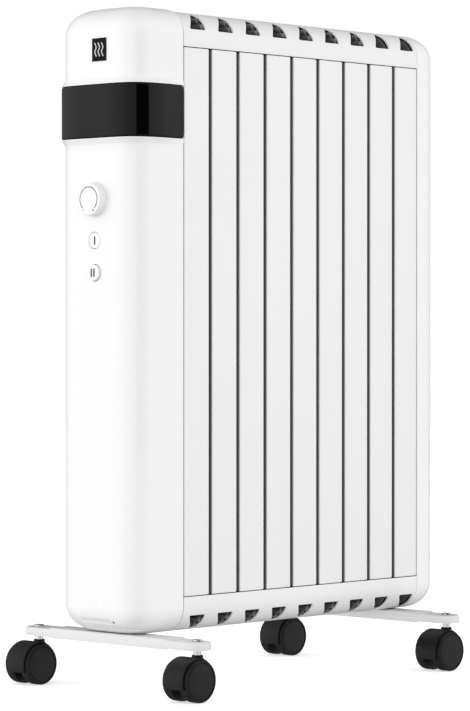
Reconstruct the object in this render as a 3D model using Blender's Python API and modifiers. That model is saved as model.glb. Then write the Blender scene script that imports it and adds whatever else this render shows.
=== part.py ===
"""Oil filled radiator heater on four twin-wheel casters.

Metres, +Z up.  X runs across the thin width, Y along the row of fins with the
control end at -Y, and Z up from the floor.  The origin is on the floor under
the middle of the heater.  Each named object is one separate piece.
"""

import math

import bmesh
import bpy
from mathutils import Matrix

# ---- driving dimensions -------------------------------------------------

BODY_WIDTH = 0.110
BODY_BOTTOM = 0.0575
BODY_TOP = 0.658
COVER_TOP = 0.6565           # the covers and the rear cap stand a little below the housing
EDGE_ROUND = 0.026           # rounding where the sides meet the top and bottom
SEAM_LOW = 0.092             # joint between the bottom cover and the fin panels
SEAM_HIGH = 0.621            # joint between the fin panels and the top cover
GAP = 0.0003                 # clearance between pieces that touch

FIN_COUNT = 9
FIN_PITCH = 0.0391
PANEL_WIDTH = 0.0359
SHEET = 0.001

HOUSING_DEPTH = 0.065
REAR_CAP_DEPTH = 0.034
HOUSING_POWER = 5.2          # exponents of the superellipses seen from above
REAR_CAP_POWER = 4.5
SHELL_WALL = 0.0025
COVER_WALL = 0.002

KNOB_PROUD = 0.009
PACK_LENGTH = (FIN_COUNT - 1) * FIN_PITCH + PANEL_WIDTH
TOTAL_LENGTH = KNOB_PROUD + HOUSING_DEPTH + PACK_LENGTH + REAR_CAP_DEPTH
PACK_FRONT = -TOTAL_LENGTH / 2 + KNOB_PROUD + HOUSING_DEPTH
PACK_REAR = PACK_FRONT + PACK_LENGTH
FACE_Y = PACK_FRONT - HOUSING_DEPTH

BAND_LOW = 0.5323
BAND_HIGH = 0.5834
BAND_PROUD = 0.0035
LIP_PROUD = 0.0030
LIP_HEIGHT = 0.0048
LIP_LAND = 0.0008
SEAT_STEP = 0.0001           # height over which a lip steps back to the band's seat

KNOB_Z = 0.4738
KNOB_RADIUS = 0.0165
KNOB_BEND_RADIUS = 0.0158    # where the side of the knob turns into its face
KNOB_FACE_RADIUS = 0.0148
KNOB_BEND = 0.0012
KNOB_BORE_DEPTH = 0.0055
KNOB_CLEARANCE = 0.0004      # between the knob and the face of the housing
BUTTON_ONE_Z = 0.4344
BUTTON_TWO_Z = 0.4035
BUTTON_RADIUS = 0.008
BUTTON_LENGTH = 0.0115
BUTTON_OUT = 0.0035          # how far a released button stands out
BUTTON_IN = 0.0008           # how far a latched button stands out
BUTTON_CLEARANCE = 0.0005
BUTTON_EDGE = 0.0006

GALLERY_LOW_Z = 0.125
GALLERY_HIGH_Z = 0.590
GALLERY_RADIUS = 0.015
GALLERY_BORE = 0.012

FRONT_FOOT_Y = PACK_FRONT - 0.0369
REAR_FOOT_Y = PACK_FRONT + 0.3317
FOOT_HALF_WIDTH = 0.013
STEM_X = 0.1086
PAD_LOW = 0.048
PAD_HIGH = 0.056
BAR_LOW = 0.047
BAR_HALF_LENGTH = 0.080

WHEEL_RADIUS = 0.020
WHEEL_INNER_X = 0.0058
WHEEL_OUTER_X = 0.0165
CASTER_TRAIL = 0.011         # wheel axle behind the stem, towards -Y
HOOD_INNER = 0.0205
HOOD_OUTER = 0.0220
HOOD_HALF_WIDTH = 0.013
COLLAR_RADIUS = 0.00545
COLLAR_TOP = 0.0432
STEM_RADIUS = 0.0036
AXLE_RADIUS = 0.0025

GROMMET_Y = PACK_FRONT - 0.030
GROMMET_Z = 0.115
GROMMET_BORE = 0.0045
GROMMET_NECK = 0.0062
GROMMET_HOLE = 0.0065
GROMMET_FLANGE = 0.0090
GROMMET_FLANGE_FACE = 0.0078
GROMMET_PROUD = 0.0045
GROMMET_EDGE = 0.0030
GROMMET_INSIDE = -0.0060

BADGE_CENTRE = (0.0068, 0.6165)
BADGE_HALF_SIZE = (0.0096, 0.0110)
BADGE_CORNER = 0.0012
BADGE_THICKNESS = 0.0012
BADGE_OFF_FACE = 0.0005      # thickness of the adhesive behind the badge

ROUND_STEPS = 24
FINE_STEPS = 16              # sides of smaller round pieces
SMALL_STEPS = 12
SCREW_STEPS = 10

AXES = {
    "Z": Matrix.Identity(4),
    "X": Matrix.Rotation(math.radians(90), 4, "Y"),
    "Y": Matrix.Rotation(math.radians(-90), 4, "X"),
    "-Y": Matrix.Rotation(math.radians(90), 4, "X"),
    "-X": Matrix.Rotation(math.radians(-90), 4, "Y"),
}

# ---- scene set-up -------------------------------------------------------

for old in list(bpy.data.objects):
    bpy.data.objects.remove(old, do_unlink=True)


def collection(name):
    found = bpy.data.collections.get(name)
    if found is None:
        found = bpy.data.collections.new(name)
        bpy.context.scene.collection.children.link(found)
    return found


HEATER = collection("oil_radiator_heater")
CUTTERS = collection("cutters")


def material(name, colour, roughness, metallic=0.0):
    found = bpy.data.materials.get(name)
    if found is not None:
        return found
    made = bpy.data.materials.new(name)
    made.use_nodes = True
    shader = made.node_tree.nodes["Principled BSDF"]
    shader.inputs["Base Color"].default_value = (*colour, 1.0)
    shader.inputs["Roughness"].default_value = roughness
    shader.inputs["Metallic"].default_value = metallic
    made.diffuse_color = (*colour, 1.0)
    return made


PANEL_WHITE = material("panel_white", (0.84, 0.84, 0.84), 0.35)
SHELL_WHITE = material("shell_white", (0.88, 0.88, 0.88), 0.28)
FOOT_WHITE = material("foot_white", (0.80, 0.80, 0.80), 0.40)
GLOSS_BLACK = material("gloss_black", (0.02, 0.02, 0.02), 0.08)
CASTER_BLACK = material("caster_black", (0.025, 0.025, 0.025), 0.45)
BARE_STEEL = material("bare_steel", (0.62, 0.62, 0.64), 0.30, 1.0)
SWITCH_GREY = material("switch_grey", (0.16, 0.16, 0.17), 0.50)
ELEMENT_STEEL = material("element_steel", (0.50, 0.48, 0.46), 0.40, 1.0)

# ---- modelling helpers --------------------------------------------------


def place_object(name, mesh, finish, matrix=None):
    """Link a mesh as a piece of the heater, or as a hidden cutter when it has no finish."""
    thing = bpy.data.objects.new(name, mesh)
    if finish is None:
        CUTTERS.objects.link(thing)
        thing.hide_render = True
        thing.display_type = "WIRE"
    else:
        HEATER.objects.link(thing)
        if not mesh.materials:
            mesh.materials.append(finish)
    if matrix is not None:
        thing.matrix_world = matrix
    return thing


def mesh_from(bm, name, smooth=True):
    mesh = bpy.data.meshes.new(name)
    bm.to_mesh(mesh)
    bm.free()
    if smooth:
        mesh.shade_smooth()
        mesh.set_sharp_from_angle(angle=math.radians(35))
    return mesh


def box(name, low, high, finish):
    """A block between two corners."""
    bm = bmesh.new()
    bmesh.ops.create_cube(bm, size=1.0)
    centre = [(a + b) / 2 for a, b in zip(low, high)]
    size = [b - a for a, b in zip(low, high)]
    for vert in bm.verts:
        vert.co = [c + s * v for c, s, v in zip(centre, size, vert.co)]
    return place_object(name, mesh_from(bm, name, smooth=False), finish)


def rod(name, radius, low, high, at, axis, finish, steps=ROUND_STEPS):
    """A cylinder about an axis through a point, from low to high along that axis."""
    bm = bmesh.new()
    bmesh.ops.create_cone(bm, cap_ends=True, segments=steps, radius1=radius,
                          radius2=radius, depth=high - low)
    half_step = Matrix.Rotation(math.pi / steps, 4, "Z")
    shift = Matrix.Translation((0, 0, (low + high) / 2))
    bmesh.ops.transform(bm, matrix=shift @ half_step, verts=bm.verts)
    return place_object(name, mesh_from(bm, name), finish,
                        Matrix.Translation(at) @ AXES[axis])


def turned(name, profile, at, axis, finish, steps=ROUND_STEPS):
    """Spin a profile of (radius, height) points, given from top to bottom of its outer side.

    The points start half a step round, so that a flat side faces each axis.
    """
    half = math.pi / steps
    mesh = bpy.data.meshes.new(name)
    points = [(r * math.cos(half), r * math.sin(half), z) for r, z in profile]
    mesh.from_pydata(points, [(i, i + 1) for i in range(len(points) - 1)], [])
    thing = place_object(name, mesh, finish, Matrix.Translation(at) @ AXES[axis])
    screw = thing.modifiers.new("spin", "SCREW")
    screw.steps = steps
    screw.render_steps = steps
    screw.use_merge_vertices = True
    screw.merge_threshold = 0.00001
    screw.use_smooth_shade = True
    return thing


def prism(name, outline, low, high, finish, axis="Z", at=(0, 0, 0)):
    """Extrude a closed outline of (u, v) points, counter-clockwise, from low to high.

    Along Z the outline lies in X and Y, along Y in X and Z, and along X in Y and Z.
    """
    turn = {
        "Z": Matrix.Identity(4),
        "X": Matrix(((0, 0, 1, 0), (1, 0, 0, 0), (0, 1, 0, 0), (0, 0, 0, 1))),
        "Y": Matrix(((1, 0, 0, 0), (0, 0, 1, 0), (0, 1, 0, 0), (0, 0, 0, 1))),
    }[axis]
    bm = bmesh.new()
    face = bm.faces.new([bm.verts.new((u, v, low)) for u, v in outline])
    grown = bmesh.ops.extrude_face_region(bm, geom=[face])
    lifted = [v for v in grown["geom"] if isinstance(v, bmesh.types.BMVert)]
    bmesh.ops.translate(bm, verts=lifted, vec=(0, 0, high - low))
    bmesh.ops.transform(bm, matrix=Matrix.Translation(at) @ turn, verts=bm.verts)
    bmesh.ops.recalc_face_normals(bm, faces=bm.faces)
    return place_object(name, mesh_from(bm, name), finish)


def arc(centre, radius, start, end, steps):
    """Points along an arc, angles in degrees."""
    angles = [math.radians(start + (end - start) * i / steps) for i in range(steps + 1)]
    return [(centre[0] + radius * math.cos(a), centre[1] + radius * math.sin(a)) for a in angles]


def boolean(target, tool, operation):
    cut = target.modifiers.new(operation.lower(), "BOOLEAN")
    cut.operation = operation
    cut.solver = "EXACT"
    cut.object = tool
    return target


def cut_away(target, *tools):
    for tool in tools:
        boolean(target, tool, "DIFFERENCE")
    return target


def join_on(target, *tools):
    for tool in tools:
        boolean(target, tool, "UNION")
    return target


def evaluated_mesh(thing, name):
    """The object's mesh with its modifiers applied, for sharing between copies."""
    bpy.context.view_layer.update()
    graph = bpy.context.evaluated_depsgraph_get()
    mesh = bpy.data.meshes.new_from_object(thing.evaluated_get(graph))
    mesh.name = name
    return mesh


# ---- control housing and rear cap: rounded cups -------------------------

OUTLINE_STEPS = 18
ROUND_LEVELS = 4


def half_outline(half_width, depth, power):
    """Half a superellipse from +X round the far side to -X, as (x, distance out)."""
    points = []
    for i in range(OUTLINE_STEPS + 1):
        angle = math.pi * i / OUTLINE_STEPS
        across = abs(math.cos(angle)) / half_width
        out = abs(math.sin(angle)) / depth
        reach = (across ** power + out ** power) ** (-1 / power)
        points.append((reach * math.cos(angle), reach * math.sin(angle)))
    return points


def cup_levels(wall, side_levels, crest):
    """Heights and offsets of a cup's sections: a rounded bottom, the sides, a rounded top."""
    radius = EDGE_ROUND - wall
    turn = [math.pi / 2 * k / ROUND_LEVELS for k in range(ROUND_LEVELS + 1)]
    bottom = [(BODY_BOTTOM + EDGE_ROUND - radius * math.cos(a),
               radius * math.sin(a) - EDGE_ROUND) for a in turn]
    top = [(crest - EDGE_ROUND + radius * math.cos(a),
            radius * math.sin(a) - EDGE_ROUND) for a in reversed(turn)]
    return bottom + side_levels + top


def cup(name, depth, joint_y, outwards, outer_sides, crest, power):
    """A shell open at the joint plane, lofted between its outer and inner sections."""
    inner_sides = [(z, -SHELL_WALL) for z, _ in outer_sides]
    walls = []
    bm = bmesh.new()
    for wall, sides in ((0.0, outer_sides), (SHELL_WALL, inner_sides)):
        rows = []
        for z, offset in cup_levels(wall, sides, crest):
            ring = half_outline(BODY_WIDTH / 2 + offset, depth + offset, power)
            rows.append([bm.verts.new((x, joint_y + outwards * out, z)) for x, out in ring])
        walls.append(rows)
    outer, inner = walls
    for rows in walls:
        for lower, upper in zip(rows, rows[1:]):
            for i in range(OUTLINE_STEPS):
                bm.faces.new((lower[i], upper[i], upper[i + 1], lower[i + 1]))
        bm.faces.new(rows[0])
        bm.faces.new(rows[-1])
    for end in (0, -1):
        for k in range(len(outer) - 1):
            bm.faces.new((outer[k][end], outer[k + 1][end], inner[k + 1][end], inner[k][end]))
    for row_out, row_in in ((outer[0], inner[0]), (outer[-1], inner[-1])):
        bm.faces.new((row_out[0], row_out[-1], row_in[-1], row_in[0]))
    bmesh.ops.recalc_face_normals(bm, faces=bm.faces)
    return place_object(name, mesh_from(bm, name), SHELL_WHITE)


def band_seat():
    """Side sections of the housing: a flared lip under and over the seat of the black band."""
    foot, head = BAND_LOW - GAP, BAND_HIGH + GAP
    return [
        (foot - LIP_HEIGHT, 0.0),
        (foot - LIP_LAND, LIP_PROUD),
        (foot, LIP_PROUD),
        (foot + SEAT_STEP, 0.0),
        (head - SEAT_STEP, 0.0),
        (head, LIP_PROUD),
        (head + LIP_LAND, LIP_PROUD),
        (head + LIP_HEIGHT, 0.0),
    ]


SHAFT_HOLE = 0.0036
FOOT_SCREW_X = 0.020
FOOT_SCREW_HOLE = 0.0023
HOUSING_SCREW = (0.0214, 0.0697)
HOUSING_SCREW_RADIUS = 0.0010
HOUSING_SCREW_HOLE = 0.0013
HOUSING_SCREW_REACH = (-0.0610, -0.0480)
FACE_DRILL = (-0.08, -0.05)  # from the joint: a cut through the face only
SIDE_DRILL = (-0.07, -0.04)  # from the middle: a cut through the side wall only


def control_housing():
    """Moulded shell with holes for the shaft, the buttons, the cord and the screws."""
    shell = cup("control_housing", HOUSING_DEPTH, PACK_FRONT - GAP, -1, band_seat(),
                BODY_TOP, HOUSING_POWER)
    cut_away(
        shell,
        rod("shaft_hole", SHAFT_HOLE, *FACE_DRILL, (0, PACK_FRONT, KNOB_Z), "Y", None,
            FINE_STEPS),
        rod("button_one_hole", BUTTON_RADIUS + BUTTON_CLEARANCE, *FACE_DRILL,
            (0, PACK_FRONT, BUTTON_ONE_Z), "Y", None),
        rod("button_two_hole", BUTTON_RADIUS + BUTTON_CLEARANCE, *FACE_DRILL,
            (0, PACK_FRONT, BUTTON_TWO_Z), "Y", None),
        rod("housing_screw_hole", HOUSING_SCREW_HOLE, *FACE_DRILL,
            (HOUSING_SCREW[0], PACK_FRONT, HOUSING_SCREW[1]), "Y", None, SMALL_STEPS),
        rod("grommet_hole", GROMMET_HOLE, *SIDE_DRILL, (0, GROMMET_Y, GROMMET_Z), "X", None,
            FINE_STEPS),
    )
    return shell


def foot_holes(shell, y):
    """Two holes in the underside of a shell for the screws of the foot under it."""
    for side in (-1, 1):
        cut_away(shell, rod("foot_hole", FOOT_SCREW_HOLE, BODY_BOTTOM - 0.01, BODY_BOTTOM + 0.01,
                            (side * FOOT_SCREW_X, y, 0), "Z", None, SCREW_STEPS))


def rear_cap():
    """Plain moulded cap that closes the far end of the fins."""
    cup("rear_cap", REAR_CAP_DEPTH, PACK_REAR + GAP, 1, [(COVER_TOP / 2, 0.0)],
        COVER_TOP, REAR_CAP_POWER)


def handle_band():
    """Gloss black strip wrapped round the housing between its two lips."""
    outer = half_outline(BODY_WIDTH / 2 + BAND_PROUD, HOUSING_DEPTH + BAND_PROUD, HOUSING_POWER)
    inner = half_outline(BODY_WIDTH / 2 + GAP, HOUSING_DEPTH + GAP, HOUSING_POWER)
    rows = [(x, PACK_FRONT - GAP - out) for x, out in outer]
    rows += [(x, PACK_FRONT - GAP - out) for x, out in reversed(inner)]
    return prism("handle_band", rows, BAND_LOW, BAND_HIGH, GLOSS_BLACK)


def badge():
    """Thin plain plate on the housing face, above the band."""
    outline = []
    for quarter in range(4):
        side_x = 1 if quarter in (0, 3) else -1
        side_z = 1 if quarter in (0, 1) else -1
        middle = (BADGE_CENTRE[0] + side_x * (BADGE_HALF_SIZE[0] - BADGE_CORNER),
                  BADGE_CENTRE[1] + side_z * (BADGE_HALF_SIZE[1] - BADGE_CORNER))
        outline += arc(middle, BADGE_CORNER, 90 * quarter, 90 * quarter + 90, 2)
    back = FACE_Y - BADGE_OFF_FACE
    return prism("badge", outline, back - BADGE_THICKNESS, back, GLOSS_BLACK, axis="Y")


# ---- controls -----------------------------------------------------------

SHEET_STEEL = 0.0012
BRACKET_FRONT = FACE_Y + SHELL_WALL + 0.0011
BRACKET_BACK = BRACKET_FRONT + SHEET_STEEL
BRACKET_HALF_WIDTH = 0.020
BRACKET_LOW = 0.352
BRACKET_HIGH = 0.498
SWITCH_FRONT = BRACKET_BACK + GAP
SWITCH_POCKET = SWITCH_FRONT + 0.0105
SWITCH_HALF_SIZE = 0.0105
SWITCH_DEPTH = 0.026
THERMOSTAT_HALF_WIDTH = 0.016
THERMOSTAT_HALF_HEIGHT = 0.0155
THERMOSTAT_DEPTH = 0.022
TERMINAL_HALF_WIDTH = 0.014
TERMINAL_DEPTH = 0.016
TERMINAL_LOW = 0.358
TERMINAL_HIGH = 0.380
SHAFT_RADIUS = 0.003
SHAFT_END = SWITCH_FRONT + 0.008
OVERCUT = 0.001              # how far a cutter passes the face it cuts


def thermostat_group():
    """Round knob on a shaft, which turns the thermostat fixed behind the bracket."""
    turned("thermostat_knob", [
        (0.0, KNOB_PROUD), (KNOB_FACE_RADIUS, KNOB_PROUD),
        (KNOB_BEND_RADIUS, KNOB_PROUD - KNOB_BEND),
        (KNOB_RADIUS, KNOB_CLEARANCE), (SHAFT_RADIUS + GAP, KNOB_CLEARANCE),
        (SHAFT_RADIUS + GAP, KNOB_BORE_DEPTH), (0.0, KNOB_BORE_DEPTH),
    ], (0, FACE_Y, KNOB_Z), "-Y", SHELL_WHITE)
    rod("thermostat_shaft", SHAFT_RADIUS, GAP - KNOB_BORE_DEPTH, SHAFT_END - FACE_Y,
        (0, FACE_Y, KNOB_Z), "Y", BARE_STEEL, FINE_STEPS)
    body = box("thermostat_body",
               (-THERMOSTAT_HALF_WIDTH, SWITCH_FRONT, KNOB_Z - THERMOSTAT_HALF_HEIGHT),
               (THERMOSTAT_HALF_WIDTH, SWITCH_FRONT + THERMOSTAT_DEPTH,
                KNOB_Z + THERMOSTAT_HALF_HEIGHT), SWITCH_GREY)
    cut_away(body, rod("thermostat_socket", SHAFT_RADIUS + GAP, SWITCH_FRONT - OVERCUT,
                       SHAFT_END + GAP, (0, 0, KNOB_Z), "Y", None, FINE_STEPS))


def push_button(name, height, stands_out):
    """Round cap that slides in the housing and in its switch; its origin is on its own axis."""
    turned(name, [
        (0.0, stands_out), (BUTTON_RADIUS - BUTTON_EDGE, stands_out),
        (BUTTON_RADIUS, stands_out - BUTTON_EDGE),
        (BUTTON_RADIUS, stands_out - BUTTON_LENGTH), (0.0, stands_out - BUTTON_LENGTH),
    ], (0, FACE_Y, height), "-Y", SHELL_WHITE, FINE_STEPS)


def switch_body(name, height):
    """Rocker block behind the bracket with a round pocket for its button."""
    body = box(name, (-SWITCH_HALF_SIZE, SWITCH_FRONT, height - SWITCH_HALF_SIZE),
               (SWITCH_HALF_SIZE, SWITCH_FRONT + SWITCH_DEPTH, height + SWITCH_HALF_SIZE),
               SWITCH_GREY)
    cut_away(body, rod(name + "_pocket", BUTTON_RADIUS + BUTTON_CLEARANCE,
                       SWITCH_FRONT - OVERCUT, SWITCH_POCKET, (0, 0, height), "Y", None))


def control_bracket():
    """Sheet steel plate behind the housing face that carries the thermostat and switches."""
    plate = box("control_bracket", (-BRACKET_HALF_WIDTH, BRACKET_FRONT, BRACKET_LOW),
                (BRACKET_HALF_WIDTH, BRACKET_BACK, BRACKET_HIGH), BARE_STEEL)
    through = (BRACKET_FRONT - OVERCUT, BRACKET_BACK + OVERCUT)
    cut_away(plate, rod("bracket_shaft_hole", SHAFT_HOLE, *through, (0, 0, KNOB_Z), "Y", None,
                        FINE_STEPS))
    for height in (BUTTON_ONE_Z, BUTTON_TWO_Z):
        cut_away(plate, rod("bracket_button_hole", BUTTON_RADIUS + BUTTON_CLEARANCE, *through,
                            (0, 0, height), "Y", None))


def cord_grommet():
    """Flanged bush in the hidden side wall, where the mains lead leaves."""
    turned("cord_grommet", [
        (GROMMET_BORE, GROMMET_PROUD), (GROMMET_FLANGE_FACE, GROMMET_PROUD),
        (GROMMET_FLANGE, GROMMET_EDGE), (GROMMET_FLANGE, GAP), (GROMMET_NECK, GAP),
        (GROMMET_NECK, GROMMET_INSIDE), (GROMMET_BORE, GROMMET_INSIDE),
        (GROMMET_BORE, GROMMET_PROUD),
    ], (-BODY_WIDTH / 2, GROMMET_Y, GROMMET_Z), "-X", CASTER_BLACK, FINE_STEPS)


def controls():
    control_bracket()
    thermostat_group()
    push_button("power_button_one", BUTTON_ONE_Z, BUTTON_IN)
    push_button("power_button_two", BUTTON_TWO_Z, BUTTON_OUT)
    switch_body("power_switch_one", BUTTON_ONE_Z)
    switch_body("power_switch_two", BUTTON_TWO_Z)
    box("terminal_block", (-TERMINAL_HALF_WIDTH, SWITCH_FRONT, TERMINAL_LOW),
        (TERMINAL_HALF_WIDTH, SWITCH_FRONT + TERMINAL_DEPTH, TERMINAL_HIGH), SWITCH_GREY)
    cord_grommet()
    rod("housing_screw", HOUSING_SCREW_RADIUS, *HOUSING_SCREW_REACH,
        (HOUSING_SCREW[0], PACK_FRONT, HOUSING_SCREW[1]), "Y", BARE_STEEL, SMALL_STEPS)


# ---- oil circuit --------------------------------------------------------

WEB_LOW = 0.072
WEB_HIGH = 0.643
WEB_HALF_WIDTH = 0.0485
WEB_HALF_THICKNESS = 0.00075
WEB_CORNER = 0.020
RETURN_FLANGE = 0.009
OVERLAP = 0.0001             # how far a joined piece reaches into the one it is joined to
OVERHANG = (FIN_PITCH - PANEL_WIDTH - GAP) / 2
BORE_DRILL = 0.03


def fin_section():
    """Plan of one fin: a web between two flat side panels with folded-in edges."""
    outer, half = BODY_WIDTH / 2, PANEL_WIDTH / 2
    inside, tip = outer - SHEET, outer - RETURN_FLANGE
    right = [
        (inside, -WEB_HALF_THICKNESS), (inside, -half + SHEET), (tip, -half + SHEET),
        (tip, -half), (outer, -half), (outer, half), (tip, half), (tip, half - SHEET),
        (inside, half - SHEET), (inside, WEB_HALF_THICKNESS),
    ]
    left = [(-x, -y) for x, y in right]
    return right + left


def web_outline():
    low, high, wide = WEB_LOW + WEB_CORNER, WEB_HIGH - WEB_CORNER, WEB_HALF_WIDTH - WEB_CORNER
    return (arc((wide, high), WEB_CORNER, 0, 90, 2) + arc((-wide, high), WEB_CORNER, 90, 180, 2)
            + arc((-wide, low), WEB_CORNER, 180, 270, 2) + arc((wide, low), WEB_CORNER, 270, 360, 2))


def fins():
    """Welded steel fins, joined by an upper and a lower gallery that carry the oil."""
    pattern = prism("fin_pattern", fin_section(), SEAM_LOW + GAP, SEAM_HIGH - GAP, None)
    join_on(pattern, prism("fin_web", web_outline(), -WEB_HALF_THICKNESS - OVERLAP,
                           WEB_HALF_THICKNESS + OVERLAP, None, axis="Y"))
    reach = (FIN_PITCH - GAP) / 2
    for height in (GALLERY_LOW_Z, GALLERY_HIGH_Z):
        join_on(pattern, rod("gallery_boss", GALLERY_RADIUS, -reach, reach, (0, 0, height),
                             "Y", None, SMALL_STEPS))
    for height in (GALLERY_LOW_Z, GALLERY_HIGH_Z):
        cut_away(pattern, rod("gallery_bore", GALLERY_BORE, -BORE_DRILL, BORE_DRILL,
                              (0, 0, height), "Y", None, SMALL_STEPS))
    shared = evaluated_mesh(pattern, "fin")
    for number in range(FIN_COUNT):
        centre = PACK_FRONT + PANEL_WIDTH / 2 + number * FIN_PITCH
        place_object(f"fin_{number + 1}", shared, PANEL_WHITE, Matrix.Translation((0, centre, 0)))


PLUG_HEAD = 0.014
PLUG_HEAD_THICKNESS = 0.003
PLUG_EDGE = 0.0015
SPIGOT_RADIUS = GALLERY_BORE - 2 * GAP
SPIGOT_LENGTH = 0.006
ELEMENT_RADIUS = 0.008
ELEMENT_FLANGE = 0.004
ELEMENT_NUT = 0.005
ELEMENT_NUT_PROUD = 0.010
ELEMENT_LENGTH = PACK_LENGTH - 0.020
BACK_PLATE_HALF_WIDTH = 0.048
BACK_PLATE_LOW = 0.090
BACK_PLATE_HIGH = 0.620
BACK_PLATE_FRONT = PACK_FRONT - 0.0088
BACK_PLATE_HOLE = 0.016
CUTOUT_RADIUS = 0.009
CUTOUT_REACH = (-0.0180, -0.0091)
CUTOUT_Z = 0.540


def gallery_plug(name, end_y, height, axis):
    """Welded plug: a spigot in the bore and a wider head outside."""
    turned(name, [
        (0.0, PLUG_HEAD_THICKNESS), (PLUG_HEAD - PLUG_EDGE, PLUG_HEAD_THICKNESS),
        (PLUG_HEAD, PLUG_HEAD_THICKNESS - PLUG_EDGE), (PLUG_HEAD, GAP),
        (SPIGOT_RADIUS, GAP), (SPIGOT_RADIUS, -SPIGOT_LENGTH), (0.0, -SPIGOT_LENGTH),
    ], (0, end_y, height), axis, ELEMENT_STEEL, FINE_STEPS)


def oil_circuit():
    fins()
    front, rear = PACK_FRONT - OVERHANG, PACK_REAR + OVERHANG
    gallery_plug("upper_front_plug", front, GALLERY_HIGH_Z, "-Y")
    gallery_plug("upper_rear_plug", rear, GALLERY_HIGH_Z, "Y")
    gallery_plug("lower_rear_plug", rear, GALLERY_LOW_Z, "Y")
    turned("heating_element", [
        (0.0, ELEMENT_NUT_PROUD), (ELEMENT_NUT, ELEMENT_NUT_PROUD),
        (ELEMENT_NUT, ELEMENT_FLANGE), (PLUG_HEAD, ELEMENT_FLANGE), (PLUG_HEAD, GAP),
        (ELEMENT_RADIUS, GAP), (ELEMENT_RADIUS, -ELEMENT_LENGTH), (0.0, -ELEMENT_LENGTH),
    ], (0, front, GALLERY_LOW_Z), "-Y", ELEMENT_STEEL, FINE_STEPS)
    plate = box("housing_back_plate",
                (-BACK_PLATE_HALF_WIDTH, BACK_PLATE_FRONT, BACK_PLATE_LOW),
                (BACK_PLATE_HALF_WIDTH, BACK_PLATE_FRONT + SHEET_STEEL, BACK_PLATE_HIGH),
                BARE_STEEL)
    for height in (GALLERY_LOW_Z, GALLERY_HIGH_Z):
        cut_away(plate, rod("plate_hole", BACK_PLATE_HOLE, BACK_PLATE_FRONT - OVERCUT,
                            BACK_PLATE_FRONT + SHEET_STEEL + OVERCUT, (0, 0, height),
                            "Y", None, FINE_STEPS))
    rod("thermal_cutout", CUTOUT_RADIUS, *CUTOUT_REACH, (0, PACK_FRONT, CUTOUT_Z), "Y",
        SWITCH_GREY, FINE_STEPS)


# ---- vented covers ------------------------------------------------------

TOP_VENT_START = 17.4        # angle round the rounded edge where a vent starts, degrees
BOTTOM_VENT_START = 23.0
VENT_END = 80.0
VENT_WIDTH = 0.021
VENT_OFFSET = 0.0100         # from the front of a panel to the front of its vent
VENT_SWEEP = 1.2
VENT_STEPS = 3
VENT_INNER_RADIUS = EDGE_ROUND - 0.006
VENT_OUTER_RADIUS = EDGE_ROUND + 0.004
SAME_HEIGHT = 1e-9


def cover_outline(top):
    """Section across the top cover: flat top, rounded edges and short sides."""
    half = BODY_WIDTH / 2
    centre = (half - EDGE_ROUND, COVER_TOP - EDGE_ROUND)
    outer = arc(centre, EDGE_ROUND, 0, 90, 5)
    inner = arc(centre, EDGE_ROUND - COVER_WALL, 90, 0, 5)
    foot = SEAM_HIGH + GAP
    right = [(half, foot)] + outer
    left = [(-x, z) for x, z in reversed(right)]
    inside_right = inner + [(half - COVER_WALL, foot)]
    inside_left = [(-x, z) for x, z in reversed(inside_right)]
    points = right + left + inside_left + inside_right
    if top:
        return points
    return [(x, BODY_BOTTOM + COVER_TOP - z + shift_for_bottom(z, foot)) for x, z in points]


def shift_for_bottom(z, foot):
    """The bottom cover is the top cover turned over, with its edge moved to its own seam."""
    turned_edge = BODY_BOTTOM + COVER_TOP - foot
    return SEAM_LOW - GAP - turned_edge if abs(z - foot) < SAME_HEIGHT else 0.0


def vent_cutter(name, start_y, side, top):
    """A fin-shaped opening: straight rear edge, level lower edge and a swept front edge."""
    middle_x = BODY_WIDTH / 2 - EDGE_ROUND
    middle_z = COVER_TOP - EDGE_ROUND if top else BODY_BOTTOM + EDGE_ROUND
    first_angle = TOP_VENT_START if top else BOTTOM_VENT_START
    up = 1 if top else -1
    swept = [(start_y + VENT_WIDTH * (k / VENT_STEPS) ** VENT_SWEEP, k / VENT_STEPS)
             for k in range(VENT_STEPS)]
    straight = [(start_y + VENT_WIDTH, 1), (start_y + VENT_WIDTH, 0)]
    bm = bmesh.new()
    rings = []
    for radius in (VENT_INNER_RADIUS, VENT_OUTER_RADIUS):
        ring = []
        for y, t in swept + straight:
            angle = math.radians(first_angle + (VENT_END - first_angle) * t)
            ring.append(bm.verts.new((side * (middle_x + radius * math.cos(angle)), y,
                                      middle_z + up * radius * math.sin(angle))))
        rings.append(ring)
    inner, outer = rings
    count = len(inner)
    for i in range(count):
        j = (i + 1) % count
        bm.faces.new((inner[i], inner[j], outer[j], outer[i]))
    bm.faces.new(inner)
    bm.faces.new(outer)
    bmesh.ops.triangulate(bm, faces=[f for f in bm.faces if len(f.verts) > 3])
    bmesh.ops.recalc_face_normals(bm, faces=bm.faces)
    return place_object(name, mesh_from(bm, name, smooth=False), None)


def vented_cover(name, top):
    cover = prism(name, cover_outline(top), PACK_FRONT + GAP, PACK_REAR - GAP, PANEL_WHITE,
                  axis="Y")
    for number in range(FIN_COUNT):
        start = PACK_FRONT + number * FIN_PITCH + VENT_OFFSET
        for side in (-1, 1):
            cut_away(cover, vent_cutter(f"{name}_vent", start, side, top))
    return cover


# ---- feet ---------------------------------------------------------------

FOOT_WALL = 0.002
FOOT_DRILL = (0.04, 0.06)
FOOT_SCREW_HEAD_TOP = BODY_BOTTOM - GAP - FOOT_WALL - GAP
FOOT_SCREW_HEAD = 0.004
FOOT_SCREW_HEAD_FACE = 0.0028
FOOT_SCREW_HEAD_DEPTH = 0.0022
FOOT_SCREW_HEAD_EDGE = 0.0014
FOOT_SCREW_RADIUS = 0.002
FOOT_SCREW_TIP = 0.0016
FOOT_SCREW_TOP = 0.068
FOOT_SCREW_TAPER = (0.0005, 0.0015)


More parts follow.
